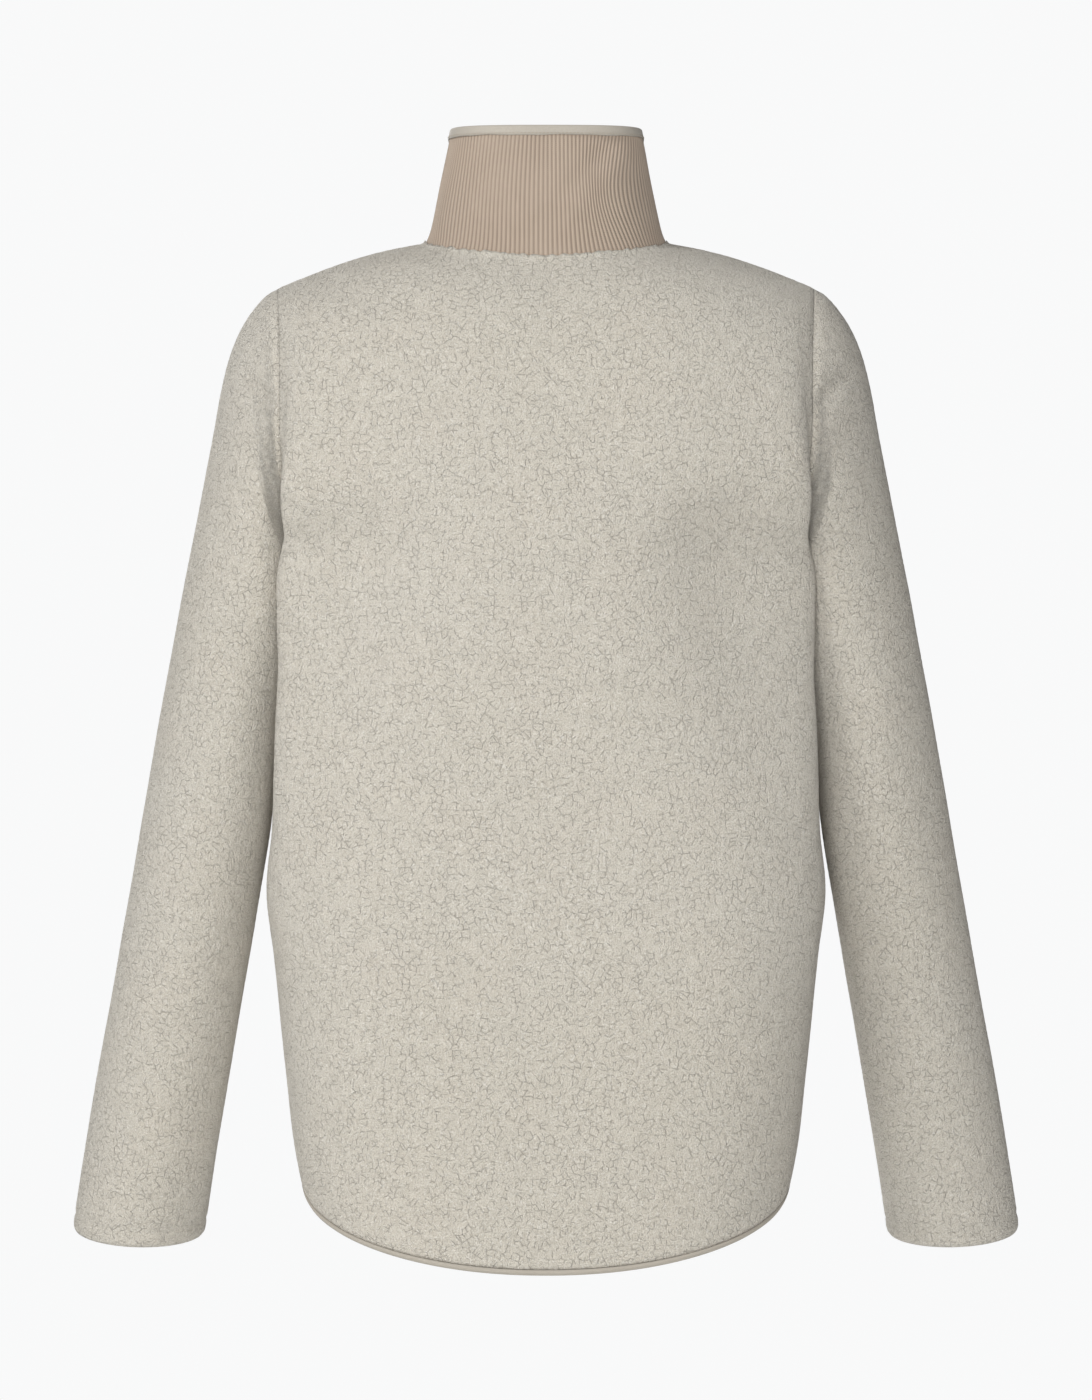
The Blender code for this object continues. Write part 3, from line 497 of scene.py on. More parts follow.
# %% Grids of the left half and their seams
SHOULDER_ROWS, ARMHOLE_ROWS, SIDE_ROWS = 48, 80, 236
HALF_COLUMNS, SLEEVE_ROWS = 124, 312
rows = np.concatenate([
    np.linspace(0.0, 1.0, SHOULDER_ROWS + 1),
    np.linspace(1.0, 2.0, ARMHOLE_ROWS + 1)[1:],
    np.linspace(2.0, 3.0, SIDE_ROWS + 1)[1:],
])
shares = np.linspace(0.0, 1.0, HALF_COLUMNS + 1)
EASED_ROWS = 20       # on either side of the shoulder tip
EASED_OVER = 7.0      # rows that are averaged there


def eased(grid):
    """Rows near the shoulder tip averaged with their neighbours, but not at the seams.

    The row ends turn a corner at the tip, which would draw a sharp line across the cloth.
    """
    number = np.arange(len(grid))
    reach = np.arange(-2 * EASED_OVER, 2 * EASED_OVER + 1).astype(int)
    weight = np.exp(-(reach / EASED_OVER) ** 2)
    moved = (grid[np.clip(number + step, 0, len(grid) - 1)] for step in reach)
    soft = sum(share * rows_moved for share, rows_moved in zip(weight, moved)) / weight.sum()
    near = np.exp(-((number - SHOULDER_ROWS) / EASED_ROWS) ** 4)[:, None] * (1.0 - shares ** 24)
    return grid + (soft - grid) * near[..., None]


back = eased(body_surface(rows, shares, 1.0))
front = eased(body_surface(rows, shares, -1.0, FRONT_EDGE_X))

# Rings evenly spaced along the line halfway between the sleeve's outer and inner side
ring_fine = np.linspace(0.0, SLEEVE["ring"][-1], 1500)
outer_side = sleeve_surface(ring_fine, np.zeros_like(ring_fine))
inner_side = sleeve_surface(ring_fine, np.full_like(ring_fine, math.pi))
spine_length = arc_length((outer_side + inner_side) / 2)
sleeve_rings = np.interp(np.linspace(0, spine_length[-1], SLEEVE_ROWS + 1), spine_length, ring_fine)
sleeve_angles = np.linspace(0.0, 2 * math.pi, 2 * ARMHOLE_ROWS, endpoint=False)
sleeve = sleeve_surface(*np.meshgrid(sleeve_rings, sleeve_angles, indexing="ij"))

body_middle = np.array([0.0, 0.0, -300.0])
back_in, front_in = face_in(back, body_middle), face_in(front, body_middle)
back_in[:, 0, 0] = 0.0      # the middle line has no sideways lean
sleeve_in = face_in(sleeve, sleeve.mean(axis=1, keepdims=True), closed=True)
tip, underarm = SHOULDER_ROWS, SHOULDER_ROWS + ARMHOLE_ROWS
shoulder_in = unit(back_in[:tip + 1, -1] + front_in[:tip + 1, -1])
side_in = unit(back_in[underarm:, -1] + front_in[underarm:, -1])
body_arm = np.concatenate([shoulder_in[-1:], back_in[tip + 1:underarm, -1], side_in[:1],
                           front_in[underarm - 1:tip:-1, -1]])
arm_mitre = unit(body_arm + sleeve_in[0])
print("sleeve length along its middle, mm:", round(float(spine_length[-1]), 1))

# %% [markdown]
# ## The collar as a surface
# A funnel collar is one strip of double rib, sewn to the neckline and leaning in
# towards its top. Its base is the neckline itself and its top a rounded oblong.
# Ribs run up it; where the knit was stretched in sewing they wander sideways, and a
# shallow dent crosses it on one side.

# %% Collar form
neckline = np.concatenate([back[0], front[0, ::-1][1:]])
neck_length = arc_length(neckline)
neck_share = neck_length / neck_length[-1]
side_share = neck_share[HALF_COLUMNS]


def top_line(at):
    """Superellipse over the neckline; back and front are matched by share of length."""
    turn = np.linspace(0.0, math.pi / 2, 2 * CURVE_POINTS)
    power = 2.0 / COLLAR_SQUARENESS
    x = COLLAR_TOP_HALF_WIDTH * np.sin(turn) ** power
    y = COLLAR_TOP_HALF_DEPTH * np.maximum(np.cos(turn), 0) ** power
    arc = arc_length(np.stack([x, y], axis=-1))
    front_start = np.interp(FRONT_EDGE_X, x[:CURVE_POINTS], arc[:CURVE_POINTS])
    on_back = at <= side_share
    back_at = arc[-1] * at / side_share
    front_at = arc[-1] + (front_start - arc[-1]) * (at - side_share) / (1 - side_share)
    place = np.where(on_back, back_at, front_at)
    x, y = np.interp(place, arc, x), np.interp(place, arc, y)
    end_z = np.where(on_back, COLLAR_TOP_BACK_Z, COLLAR_TOP_FRONT_Z)
    z = COLLAR_TOP_SIDE_Z + (end_z - COLLAR_TOP_SIDE_Z) * (y / COLLAR_TOP_HALF_DEPTH) ** COLLAR_TOP_DIP
    return np.stack([x, np.where(on_back, y, -y), z], axis=-1)


def collar_surface(at, height):
    """Base + (top - base) * height, with a small flare over the neckline.

    The share across soon gains flare * (1 - height), which is gone again at the top.
    """
    base, top = follow(at, neck_share, neckline), top_line(at)
    flare = COLLAR_FLARE * (1.0 - height) * (1.0 - np.exp(-height / COLLAR_FLARE_REACH))
    inward = height + flare
    flat = base[..., :2] + (top[..., :2] - base[..., :2]) * inward[..., None]
    z = base[..., 2] + (top[..., 2] - base[..., 2]) * height
    return np.concatenate([flat, z[..., None]], axis=-1)


COLLAR_ROWS, RIB_STEPS = 40, 8
collar_at = np.linspace(0.0, 1.0, RIBS_PER_HALF * RIB_STEPS + 1)
collar_height = np.linspace(0.0, 1.0, COLLAR_ROWS + 1)
height_grid, at_grid = np.meshgrid(collar_height, collar_at, indexing="ij")


def rib_drift(at, height, side):
    """Sideways wander of the ribs: bells round the collar, nothing at base and top."""
    along = np.sin(math.pi * np.clip(height, 0, 1)) ** 1.5
    low = np.sin(math.pi * np.clip(height, 0, 1) ** 0.6) ** 2
    if side < 0:
        return -0.042 * bell(at, 0.24, 0.10) * along + 0.022 * bell(at, 0.40, 0.06) * low
    return 0.034 * bell(at, 0.38, 0.09) * low + 0.005 * np.sin(at * 14) * along


def collar_half(side):
    """Grid of one side, 1 for the wearer's left; both ends of a row stay in place."""
    moved = np.clip(at_grid + rib_drift(at_grid, height_grid, side), 0.0, 1.0)
    moved[:, 0], moved[:, -1] = 0.0, 1.0
    return collar_surface(moved, height_grid) * np.array([side, 1.0, 1.0])


collar = np.concatenate([collar_half(-1.0)[:, ::-1], collar_half(1.0)[:, 1:]], axis=1)
collar_in = face_in(collar, np.array([0.0, 0.0, 40.0]))
print("half neckline, mm:", round(float(neck_length[-1]), 1), "rib pitch, mm:",
      round(float(neck_length[-1]) / RIBS_PER_HALF, 2))

# %% [markdown]
# ## Back and fronts
# Each panel is pushed out by the pile's height. Along a seam the pile is pressed
# flat and drawn in, which leaves the soft line seen at the armholes. At the neckline
# the pile stands over the collar's first row instead, in uneven tufts.

# %% Cut and pile the panels
neck_in = np.concatenate([back_in[0, :-1], shoulder_in[:1], front_in[0, -2::-1]])
collar_base_in = follow(neck_share, collar_at, collar_in[0, len(collar_at) - 1:])
neck_mitre = unit(neck_in + unit(collar_base_in))


def seam_gap(line, direction, axis_number, sign, closed=False):
    """Small step square to a seam's line and mitre, on the side of one of its pieces."""
    along = np.gradient(line, axis=0)
    if closed:
        along = np.roll(line, -1, axis=0) - np.roll(line, 1, axis=0)
    step = unit(np.cross(along, direction))
    return step * np.sign(step[:, axis_number:axis_number + 1]) * sign * SEAM_TRIM


neck_step = seam_gap(neckline, neck_mitre, 2, -1.0)
arm_step = seam_gap(sleeve[0], arm_mitre, 0, -1.0, closed=True)
shoulder_step = seam_gap(back[:tip + 1, -1], shoulder_in, 1, 1.0)
side_step = seam_gap(back[underarm:, -1], side_in, 1, 1.0)


def panel_walls(grid, normals, side, neck, arm):
    """Outward directions for the pile, and the coarse inner grid, of half a panel.

    On a seam both pieces share one direction, so their pile meets there.
    """
    lift = normals.copy()
    lift[:tip + 1, -1] = shoulder_in
    lift[underarm:, -1] = side_in
    lift[tip:underarm + 1, -1] = arm_mitre[arm]
    lift[0] = neck_mitre[neck]
    offsets = normals * FLEECE
    offsets[:tip + 1, -1] = thicken(shoulder_in, normals[:tip + 1, -1], FLEECE)
    offsets[underarm:, -1] = thicken(side_in, normals[underarm:, -1], FLEECE)
    offsets[tip:underarm + 1, -1] = thicken(arm_mitre[arm], body_arm[arm], FLEECE)
    offsets[0] = thicken(neck_mitre[neck], neck_in[neck], FLEECE)
    steps = np.zeros_like(grid)
    steps[0] += neck_step[neck]
    steps[:tip + 1, -1] += shoulder_step * side
    steps[tip:underarm + 1, -1] += arm_step[arm]
    steps[underarm:, -1] += side_step * side
    return lift, (grid + offsets + steps)[::COARSE, ::COARSE]


def seam_distance(grid):
    """Distance in mm of each point of half a panel from its outer seam."""
    run = arc_length(grid, axis=1)
    return run[:, -1:] - run


# Heights in mm at an edge, each followed by the distance in mm over which it fades
TUFT_LEAST, TUFT_MORE, TUFT_FADE = 0.7, 0.6, 3.0
TUFT_UP, TUFT_UP_FADE = 1.8, 1.5
HEM_ROLL, HEM_FADE = 1.0, 1.6
FREE_ROLL, FREE_FADE = 1.6, 1.4


def piled(outer, normals, cells, seam, down, free=None):
    """Outer points pushed out by the pile; tufts at the neckline, a roll at a free edge."""
    height = pile_relief(outer, cells, seam)
    ragged = 0.5 + 0.5 * waves(outer, 7.0, 9)
    height = height + np.exp(-down / TUFT_FADE) * (TUFT_LEAST + TUFT_MORE * ragged)
    height = height - HEM_ROLL * np.exp(-(down[-1:] - down) / HEM_FADE)
    if free is not None:
        height = height - FREE_ROLL * np.exp(-free / FREE_FADE)
    moved = outer - normals * height[..., None]
    moved[..., 2] += TUFT_UP * ragged * np.exp(-down / TUFT_UP_FADE)
    return moved


def cloth_places(cells, edge=0.0):
    """The cells' two layers; the inner face goes on round the hem and a free edge."""
    across, down = cells
    inner_across = 2 * across[:, :1] - across - edge * FLEECE / CLUMP if edge else across
    inner_down = 2 * down[-1:] - down + FLEECE / CLUMP
    coarse = (slice(None, None, COARSE), slice(None, None, COARSE))
    return {"across": (across, inner_across[coarse]), "down": (down, inner_down[coarse])}


MIRROR = np.array([-1.0, 1.0, 1.0])


def whole(half):
    """Grid of both halves: the mirrored one, then the given one from the middle on."""
    return np.concatenate([(half * MIRROR)[:, ::-1], half[:, 1:]], axis=1)


def both(values):
    """The same for plain values, which stay as they are when mirrored."""
    return np.concatenate([values[:, ::-1], values[:, 1:]], axis=1)


back_arm, front_arm = np.arange(ARMHOLE_ROWS + 1), -np.arange(ARMHOLE_ROWS + 1)
neck_back = np.arange(HALF_COLUMNS + 1)
neck_front = np.arange(HALF_COLUMNS, len(neckline))[::-1]
back_lift, back_inner = panel_walls(back, back_in, 1.0, neck_back, back_arm)
front_lift, front_inner = panel_walls(front, front_in, -1.0, neck_front, front_arm)
DOWN = np.array([0.0, 0.0, -1.0])
back_seam, back_down = seam_distance(back), arc_length(back)
cells = flat_cells(whole(back), *flat_places(whole(back), whole(back_in), DOWN, HALF_COLUMNS))
outer = piled(whole(back), whole(back_lift), cells, both(back_seam), both(back_down))
back_piece = cloth("back_fleece", outer, whole(back_inner), False, cloth_places(cells))
front_seam, front_down = seam_distance(front), arc_length(front)
from_edge = front_seam[:, :1] - front_seam
front_across, front_fall = flat_places(front, front_in, DOWN, 0)
SIDES = (("left", 1.0), ("right", -1.0))     # and the sign of x on that side
front_pieces = []
for name, sign in SIDES:
    flip = np.array([sign, 1.0, 1.0])
    cells = flat_cells(front * flip, front_across * sign, front_fall)
    outer = piled(front * flip, front_lift * flip, cells, front_seam, front_down, from_edge)
    front_pieces.append(cloth(f"front_{name}_fleece", outer, front_inner * flip, False,
                              cloth_places(cells, sign)))

# %% [markdown]
# ## Sleeves
# A sleeve is piled as the body is. Its flat places start on the line over the
# shoulder, so the cells on both sides meet at the underarm, where a real sleeve has
# its seam. The cuff is turned in and stitched, so a faint groove runs round it a
# finger's width over the edge, and the edge itself is a soft roll.

# %% Pile the sleeves
sleeve_wall = sleeve_in * FLEECE
sleeve_wall[0] = thicken(arm_mitre, sleeve_in[0], FLEECE)
sleeve_lift = sleeve_in.copy()
sleeve_lift[0] = arm_mitre
sleeve_inner = sleeve + sleeve_wall
sleeve_inner[0] -= arm_step
sleeve_run = arc_length(sleeve)
cuff_run = sleeve_run[-1:] - sleeve_run
CUFF_ROLL, CUFF_FADE = 1.5, 1.5                          # mm, at the edge
CUFF_STITCH, CUFF_GROOVE, CUFF_WIDTH = 11.0, 0.7, 1.6    # mm over the edge, deep, wide
CAP_LINE_DEPTH, CAP_LINE_WIDTH = 3.4, 3.2   # mm, the line at the bottom of the cap's trough
run, off = beside_line(CREASE, sleeve[..., 0], sleeve[..., 2])
cap_line = np.exp(-(off / CAP_LINE_WIDTH) ** 2 - ((run - 0.45) / 0.5) ** 4) * np.sin(sleeve_angles) ** 2
sleeve_axis = unit(np.gradient(sleeve.mean(axis=1), axis=0))[:, None]
# Half a turn on, the column over the shoulder lies in the middle and the underarm first
turned = [np.roll(values, ARMHOLE_ROWS, axis=1) for values in (sleeve, sleeve_in)]
sleeve_places = flat_places(*turned, sleeve_axis, ARMHOLE_ROWS)
sleeve_across, sleeve_fall = (np.roll(place, -ARMHOLE_ROWS, axis=1) for place in sleeve_places)
sleeve_pieces = []
for name, sign in SIDES:
    flip = np.array([sign, 1.0, 1.0])
    cells = flat_cells(sleeve * flip, sleeve_across * sign, sleeve_fall)
    height = pile_relief(sleeve * flip, cells, sleeve_run)
    height = height - CUFF_ROLL * np.exp(-cuff_run / CUFF_FADE)
    height = height - CUFF_GROOVE * bell(cuff_run, CUFF_STITCH, CUFF_WIDTH)
    height = height - CAP_LINE_DEPTH * cap_line
    outer = (sleeve - sleeve_lift * height[..., None]) * flip
    inner = (sleeve_inner * flip)[::COARSE, ::COARSE]
    sleeve_pieces.append(cloth(f"sleeve_{name}_fleece", outer, inner, True, cloth_places(cells)))

# %% [markdown]
# ## Rib collar
# The ribs are real relief here: each is a rounded ridge, and the valley between two
# is narrow. Rib number and height along the rib are kept on the points, so that the
# knit's small loops can follow the ribs wherever they wander.

# %% Knit the collar
RIB_RELIEF, UNEVEN = 0.36, 0.5       # mm, each way from the plain wall
RIB_FADE_TOP, RIB_FADE_BASE = 0.08, 0.03
DENT = columns("x z", [(-46, 66), (-8, 22)])
DENT_DEPTH, DENT_WIDTH = 1.6, 7.0
rib_number = np.concatenate([-collar_at[::-1], collar_at[1:]]) * RIBS_PER_HALF
ridge = 0.5 + 0.5 * np.cos(2 * math.pi * rib_number)
level = height_grid[:, :1]
fade = np.clip((1.0 - level) / RIB_FADE_TOP, 0.0, 1.0) * np.clip(level / RIB_FADE_BASE, 0.0, 1.0)
relief = RIB_RELIEF * (2 * ridge[None, :] ** 0.7 - 1) * fade
run, off = beside_line(DENT, collar[..., 0], collar[..., 2])
# The dent is a trough with a lower swell along one side of it
dent = np.exp(-(off / DENT_WIDTH) ** 2 - ((run - 0.5) / 0.55) ** 4)
dent = dent - 0.6 * np.exp(-((off - 13) / 8.0) ** 2 - ((run - 0.5) / 0.6) ** 4)
dent = np.where(collar[..., 1] > 0, dent, 0.0)
soft = UNEVEN * waves(collar, 70, 3)
outer = collar - collar_in * (relief - DENT_DEPTH * dent * fade + soft * fade)[..., None]
collar_wall = collar_in * RIB
base_mitre = follow(collar_at, neck_share, neck_mitre)
base_mitre = unit(np.concatenate([base_mitre[::-1] * MIRROR, base_mitre[1:]]))
collar_wall[0] = thicken(base_mitre, collar_in[0], RIB)
course = np.broadcast_to(level * COLLAR_HEIGHT, collar.shape[:2])
rib_layer = np.broadcast_to(rib_number[None, :], collar.shape[:2])
inner = (collar + collar_wall)[::COARSE, ::COARSE]
collar_piece = cloth("collar_rib", outer, inner, False, {
    "rib": (rib_layer, rib_layer[::COARSE, ::COARSE]),
    "course": (course, course[::COARSE, ::COARSE]),
})

# %% [markdown]
# ## Bindings
# A smooth folded tape caps the collar, and a narrow one closes the hem under the
# fleece. Both are a small closed profile carried along an edge. The profile's
# corners are rounded, because folded cloth has no sharp edge.

# %% Profiles carried along an edge
def sweep(name, sections):
    """Closed profiles, one for each place along a path, joined, with closed ends.

    The points keep their run along the path and around the profile, in mm, for the weave.
    """
    count, around = sections.shape[:2]
    run = np.broadcast_to(arc_length(sections.mean(axis=1))[:, None], (count, around))
    turn = np.broadcast_to(arc_length(sections[count // 2])[None, :], (count, around))
    layers = {"run": np.append(run, [0.0, run[-1, 0]]), "turn": np.append(turn, [0.0, 0.0])}
    index = np.arange(count * around).reshape(count, around)
    index = np.concatenate([index, index[:, :1]], axis=1)
    ends = sections[[0, -1]].mean(axis=1)
    first, last = count * around, count * around + 1
    caps = []
    for line, middle in ((index[0], first), (index[-1], last)):
        caps.append(np.stack([line[:-1], line[1:], np.full(around, middle)], axis=1))
    points = np.concatenate([sections.reshape(-1, 3), ends])
    made = make_mesh(name, points, quads(index), np.concatenate(caps), layers)
    print(f"{name}: {len(points)} points")
    return made


def edge_frame(outer_line, inner_line, along_line):
    """Directions at a cloth edge: out of the cloth, and on past the edge."""
    out = unit(outer_line - inner_line)
    past = unit(outer_line - along_line)
    return out, past


# Profile points are (out of the cloth, on past its edge) in mm from the edge's middle
top = collar[-1]
top_inner = top + collar_wall[-1]
take = slice(0, None, 3)             # every third point is enough for a plain tape
out, up = edge_frame(top[take], top_inner[take], collar[-3][take])
mid = (top[take] + top_inner[take]) / 2
inside = RIB / 2 + SEAT
reach = inside + TAPE
bend = np.linspace(0.0, math.pi, 9)
profile = [(reach, -BINDING_DEPTH), (reach + 0.1, -BINDING_DEPTH * 0.6), (reach, -1.5)]
profile += [(reach * math.cos(a), 1.3 * math.sin(a)) for a in bend]
profile += [(-reach, -1.5), (-reach, -BINDING_DEPTH), (-inside, -BINDING_DEPTH), (-inside, 0.05),
            (inside, 0.05), (inside, -BINDING_DEPTH)]
# The lower edges wander a little, as a tape sewn on by hand does
wander = (0.25 * np.sin(arc_length(mid) / 9.0) + 0.15 * np.sin(arc_length(mid) / 3.7))[:, None]
sections = np.stack([mid + out * o + up * (u + (wander if u == -BINDING_DEPTH else 0))
                     for o, u in profile], axis=1)
collar_binding = sweep("collar_tape", sections)

hem_edge = np.concatenate([back[-1], front[-1, -2::-1]])
hem_above = np.concatenate([back[-4], front[-4, -2::-1]])
hem_inner = np.concatenate([(back + back_in * FLEECE)[-1], (front + front_in * FLEECE)[-1, -2::-1]])
out, down = edge_frame(hem_edge, hem_inner, hem_above)
mid = (hem_edge + hem_inner) / 2
half = FLEECE / 2
profile = [(half, SEAT), (half + 0.1, HEM_BAND * 0.5), (half * 0.8, HEM_BAND * 0.85),
           (half * 0.3, HEM_BAND + SEAT), (-half * 0.3, HEM_BAND + SEAT),
           (-half * 0.8, HEM_BAND * 0.85), (-half, HEM_BAND * 0.5), (-half, SEAT)]
left = np.stack([mid + out * o + down * d for o, d in profile], axis=1)[::2]
sections = np.concatenate([(left * MIRROR)[::-1], left[1:]], axis=0)
hem_piece = sweep("hem_tape", sections)

# %% [markdown]
# ## Zip
# The zip lies under the front edges. Its tapes are swept as the bindings are and meet
# under the chain. The chain is a nylon coil: small rounded elements in two rows that
# mesh on the middle line. One element is made once and set at every place by arrays
# of directions.

# %% Zip tapes and coil
ZIP_TAPE_NEAR, ZIP_TAPE_FAR = 0.3, 14.0      # mm from the middle line
ZIP_PITCH, ZIP_HALF_THICKNESS = 2.8, 1.2
ZIP_AIM, ZIP_AIM_COLUMNS = 22, 12            # mm from the middle line, and in columns
BLEND = 9                                    # points averaged where front and collar meet
front_wall = front + front_in * FLEECE
neck_wall = (collar + collar_wall)[1:, :]
# Two lines up the inside, the free edge and one farther out, give the tapes' slope
wide = int(np.argmin(np.abs(front_wall[0, :, 0] - ZIP_AIM)))
narrow = int(np.argmin(np.abs(collar_at - (1 - ZIP_AIM_COLUMNS / HALF_COLUMNS)))) + len(collar_at) - 1
first_edge = np.concatenate([front_wall[::-1, 0], neck_wall[:, -1]])[::2]
second_edge = np.concatenate([front_wall[::-1, wide], neck_wall[:, narrow]])[::2]
into = np.concatenate([front_in[::-1, 0], collar_in[1:, -1]])[::2] * np.array([0.0, 1.0, 1.0])
into = np.pad(unit(into), ((BLEND // 2, BLEND // 2), (0, 0)), mode="edge")
into = unit(np.stack([np.convolve(line, np.ones(BLEND) / BLEND, "valid") for line in into.T], axis=-1))


def beside(x):
    """The line on the inside at a distance x from the middle, from the two lines."""
    share = (x - first_edge[:, 0]) / (second_edge[:, 0] - first_edge[:, 0])
    return first_edge + (second_edge - first_edge) * share[:, None]


near, far = beside(ZIP_TAPE_NEAR), beside(ZIP_TAPE_FAR)
near, far, into_tape = near[:-4], far[:-4], into[:-4]      # they end under the binding
near_round, far_round = near * 0.95 + far * 0.05, far * 0.95 + near * 0.05
corners = [(near, SEAT + 0.1), (near, SEAT + 0.9), (near_round, SEAT + TAPE), (far_round, SEAT + TAPE),
           (far, SEAT + 0.9), (far, SEAT + 0.1), (far_round, SEAT), (near_round, SEAT)]
sections = np.stack([line + into_tape * deep for line, deep in corners], axis=1)
zip_tapes = [sweep("zip_tape_left_weave", sections), sweep("zip_tape_right_weave", sections * MIRROR)]

chain_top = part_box("zip_chain")[1].z / MM
path = near + into_tape * (SEAT + TAPE / 2)
path[:, 0] = 0.0
path_run = arc_length(path)
end_run = np.interp(chain_top, path[:, 2], path_run)
places = np.arange(ZIP_PITCH, end_run - 1.0, ZIP_PITCH / 2)
middle = follow(places, path_run, path)
along = unit(np.gradient(middle, axis=0))
across = np.zeros_like(middle)
across[:, 0] = np.where(np.arange(len(middle)) % 2, 1.0, -1.0)
deep = unit(np.cross(across, along))


def element_form(rings=5, around=8):
    """Rounded bar across, in mm: a superellipse section, drawn in at both ends."""
    share = np.linspace(0.0, 1.0, rings)
    width = 0.55 + 0.45 * np.sqrt(np.clip(1 - (2 * share - 1) ** 2, 0, 1))
    angle = np.linspace(0, 2 * math.pi, around, endpoint=False)
    x = -0.5 + 3.2 * share
    round_x = np.sign(np.cos(angle)) * np.abs(np.cos(angle)) ** 0.7
    round_y = np.sign(np.sin(angle)) * np.abs(np.sin(angle)) ** 0.7
    return np.stack([np.broadcast_to(x[:, None], (rings, around)),
                     width[:, None] * round_x * ZIP_PITCH * 0.22,
                     width[:, None] * round_y * (ZIP_HALF_THICKNESS - 0.1)], axis=-1)


def short_tubes(name, points, lid):
    """Many equal closed tubes as one mesh; points are counted by tube, ring and place round."""
    count, rings, around = points.shape[:3]
    index = np.arange(rings * around).reshape(rings, around)
    sides = quads(np.concatenate([index, index[:, :1]], axis=1))
    one = np.concatenate([sides, lid, np.flip(lid, 1) + (rings - 1) * around])
    faces = one[None] + np.arange(count)[:, None, None] * rings * around
    print(f"{name}: {count} pieces")
    return make_mesh(name, points.reshape(-1, 3), faces.reshape(-1, 4), np.zeros((0, 3), int))


form = element_form()
points = (middle[:, None, None] + across[:, None, None] * form[None, ..., :1]
          + along[:, None, None] * form[None, ..., 1:2] + deep[:, None, None] * form[None, ..., 2:])
zip_coil = short_tubes("zip_coil", points, [[0, 1, 2, 3], [0, 3, 4, 7], [4, 5, 6, 7]])

# %% [markdown]
# ## Stitches
# A seam shows as a row of short thread bows. Each stitch is a small bent tube, so a
# row of hundreds stays light. They run along the lower edge of the collar's tape,
# where it is sewn down.

# %% Stitch rows
def stitch_row(name, line, outward, pitch=2.6, thread=0.22, bow=0.35):
    """Short bows along a line: height = bow * sin, drawn as thin tubes of five rings."""
    run = arc_length(line)
    at = (np.arange(int(run[-1] / pitch))[:, None] + np.linspace(0.12, 0.88, 5)[None, :]) * pitch
    spot, face = follow(at, run, line), unit(follow(at, run, outward))
    lift = bow * np.sin(np.linspace(0, math.pi, 5)) - 0.12    # its ends lie in the cloth
    spot = spot + face * lift[None, :, None]
    ahead = unit(np.gradient(spot, axis=1))
    side = unit(np.cross(ahead, face))
    turn = np.linspace(0, 2 * math.pi, 6, endpoint=False)
    ring = face[:, :, None] * np.sin(turn)[:, None] + side[:, :, None] * np.cos(turn)[:, None]
    thick = thread * np.array([0.5, 0.95, 1.0, 0.95, 0.5])
    points = spot[:, :, None] + ring * thick[None, :, None, None]
    return short_tubes(name, points, [[0, 1, 2, 3], [0, 3, 4, 5]])


top_out, top_up = edge_frame(top, top_inner, collar[-3])
seam_line = (top + top_inner) / 2 + top_out * reach - top_up * (BINDING_DEPTH - 1.2)
collar_stitch = stitch_row("collar_stitches", seam_line, top_out)

# %% [markdown]
# ## Fleece finish
# The finish reads the same flat places as the mesh. Cells of clump size give the thin
# broken gaps, darkened with painted shade, and rounded tops; cells of about a third of
# that give single curls, with painted shade at their edges; and a fine speckle gives
# painted highlights on the tips and small painted shadows. Each clump has its own
# tone, and patches of warmer and cooler cream keep a large panel from looking flat.

# %% Fleece material
def start_material(name, roughness, sheen=0.0, metallic=0.0):
    """A new material, its node tree and its shader; cloth gets a weak gloss."""
    look = bpy.data.materials.new(name)
    look.use_nodes = True
    shader = look.node_tree.nodes["Principled BSDF"]
    shader.inputs["Roughness"].default_value = roughness
    shader.inputs["Metallic"].default_value = metallic
    shader.inputs["Sheen Weight"].default_value = sheen
    shader.inputs["Sheen Roughness"].default_value = 0.5
    shader.inputs["Specular IOR Level"].default_value = 0.5 if metallic else 0.2
    return look, look.node_tree, shader


def add(tree, kind, **settings):
    """A node with its properties and unlinked inputs set by name; a socket is linked."""
    node = tree.nodes.new(kind)
    for key, value in settings.items():
        socket = node.inputs.get(key.replace("_", " ")) if key[0].isupper() else None
        if socket is None:
            setattr(node, key, value)
        elif isinstance(value, bpy.types.NodeSocket):
            tree.links.new(value, socket)
        else:
            socket.default_value = value
    return node


def maths(tree, operation, a, b=None, c=None):
    """One sum of up to three numbers or sockets, such as MULTIPLY_ADD: a * b + c."""
    node = tree.nodes.new("ShaderNodeMath")
    node.operation = operation
    for socket, value in zip(node.inputs, (a, b, c)):
        if isinstance(value, bpy.types.NodeSocket):
            tree.links.new(value, socket)
        elif value is not None:
            socket.default_value = value
    return node.outputs[0]


def mix_colour(tree, factor, first, second):
    """The first colour at factor 0, the second at factor 1."""
    node = tree.nodes.new("ShaderNodeMix")
    node.data_type = "RGBA"
    for socket, value in ((node.inputs[0], factor), (node.inputs[6], first), (node.inputs[7], second)):
        if isinstance(value, bpy.types.NodeSocket):
            tree.links.new(value, socket)
        else:
            socket.default_value = value if isinstance(value, float) else (*value, 1.0)
    return node.outputs[2]


def ramp(tree, value, low, high):
    """0 below low, 1 above high, smooth between."""
    node = tree.nodes.new("ShaderNodeMapRange")
    node.interpolation_type = "SMOOTHSTEP"
    tree.links.new(value, node.inputs["Value"])
    node.inputs["From Min"].default_value = low
    node.inputs["From Max"].default_value = high
    return node.outputs[0]


# The second colour here is painted shade, laid into the gaps between clumps and curls and into the
# speckle's small shadows.
FLEECE_LIGHT, FLEECE_GAP_SHADE = (0.62, 0.58, 0.50), (0.33, 0.285, 0.225)
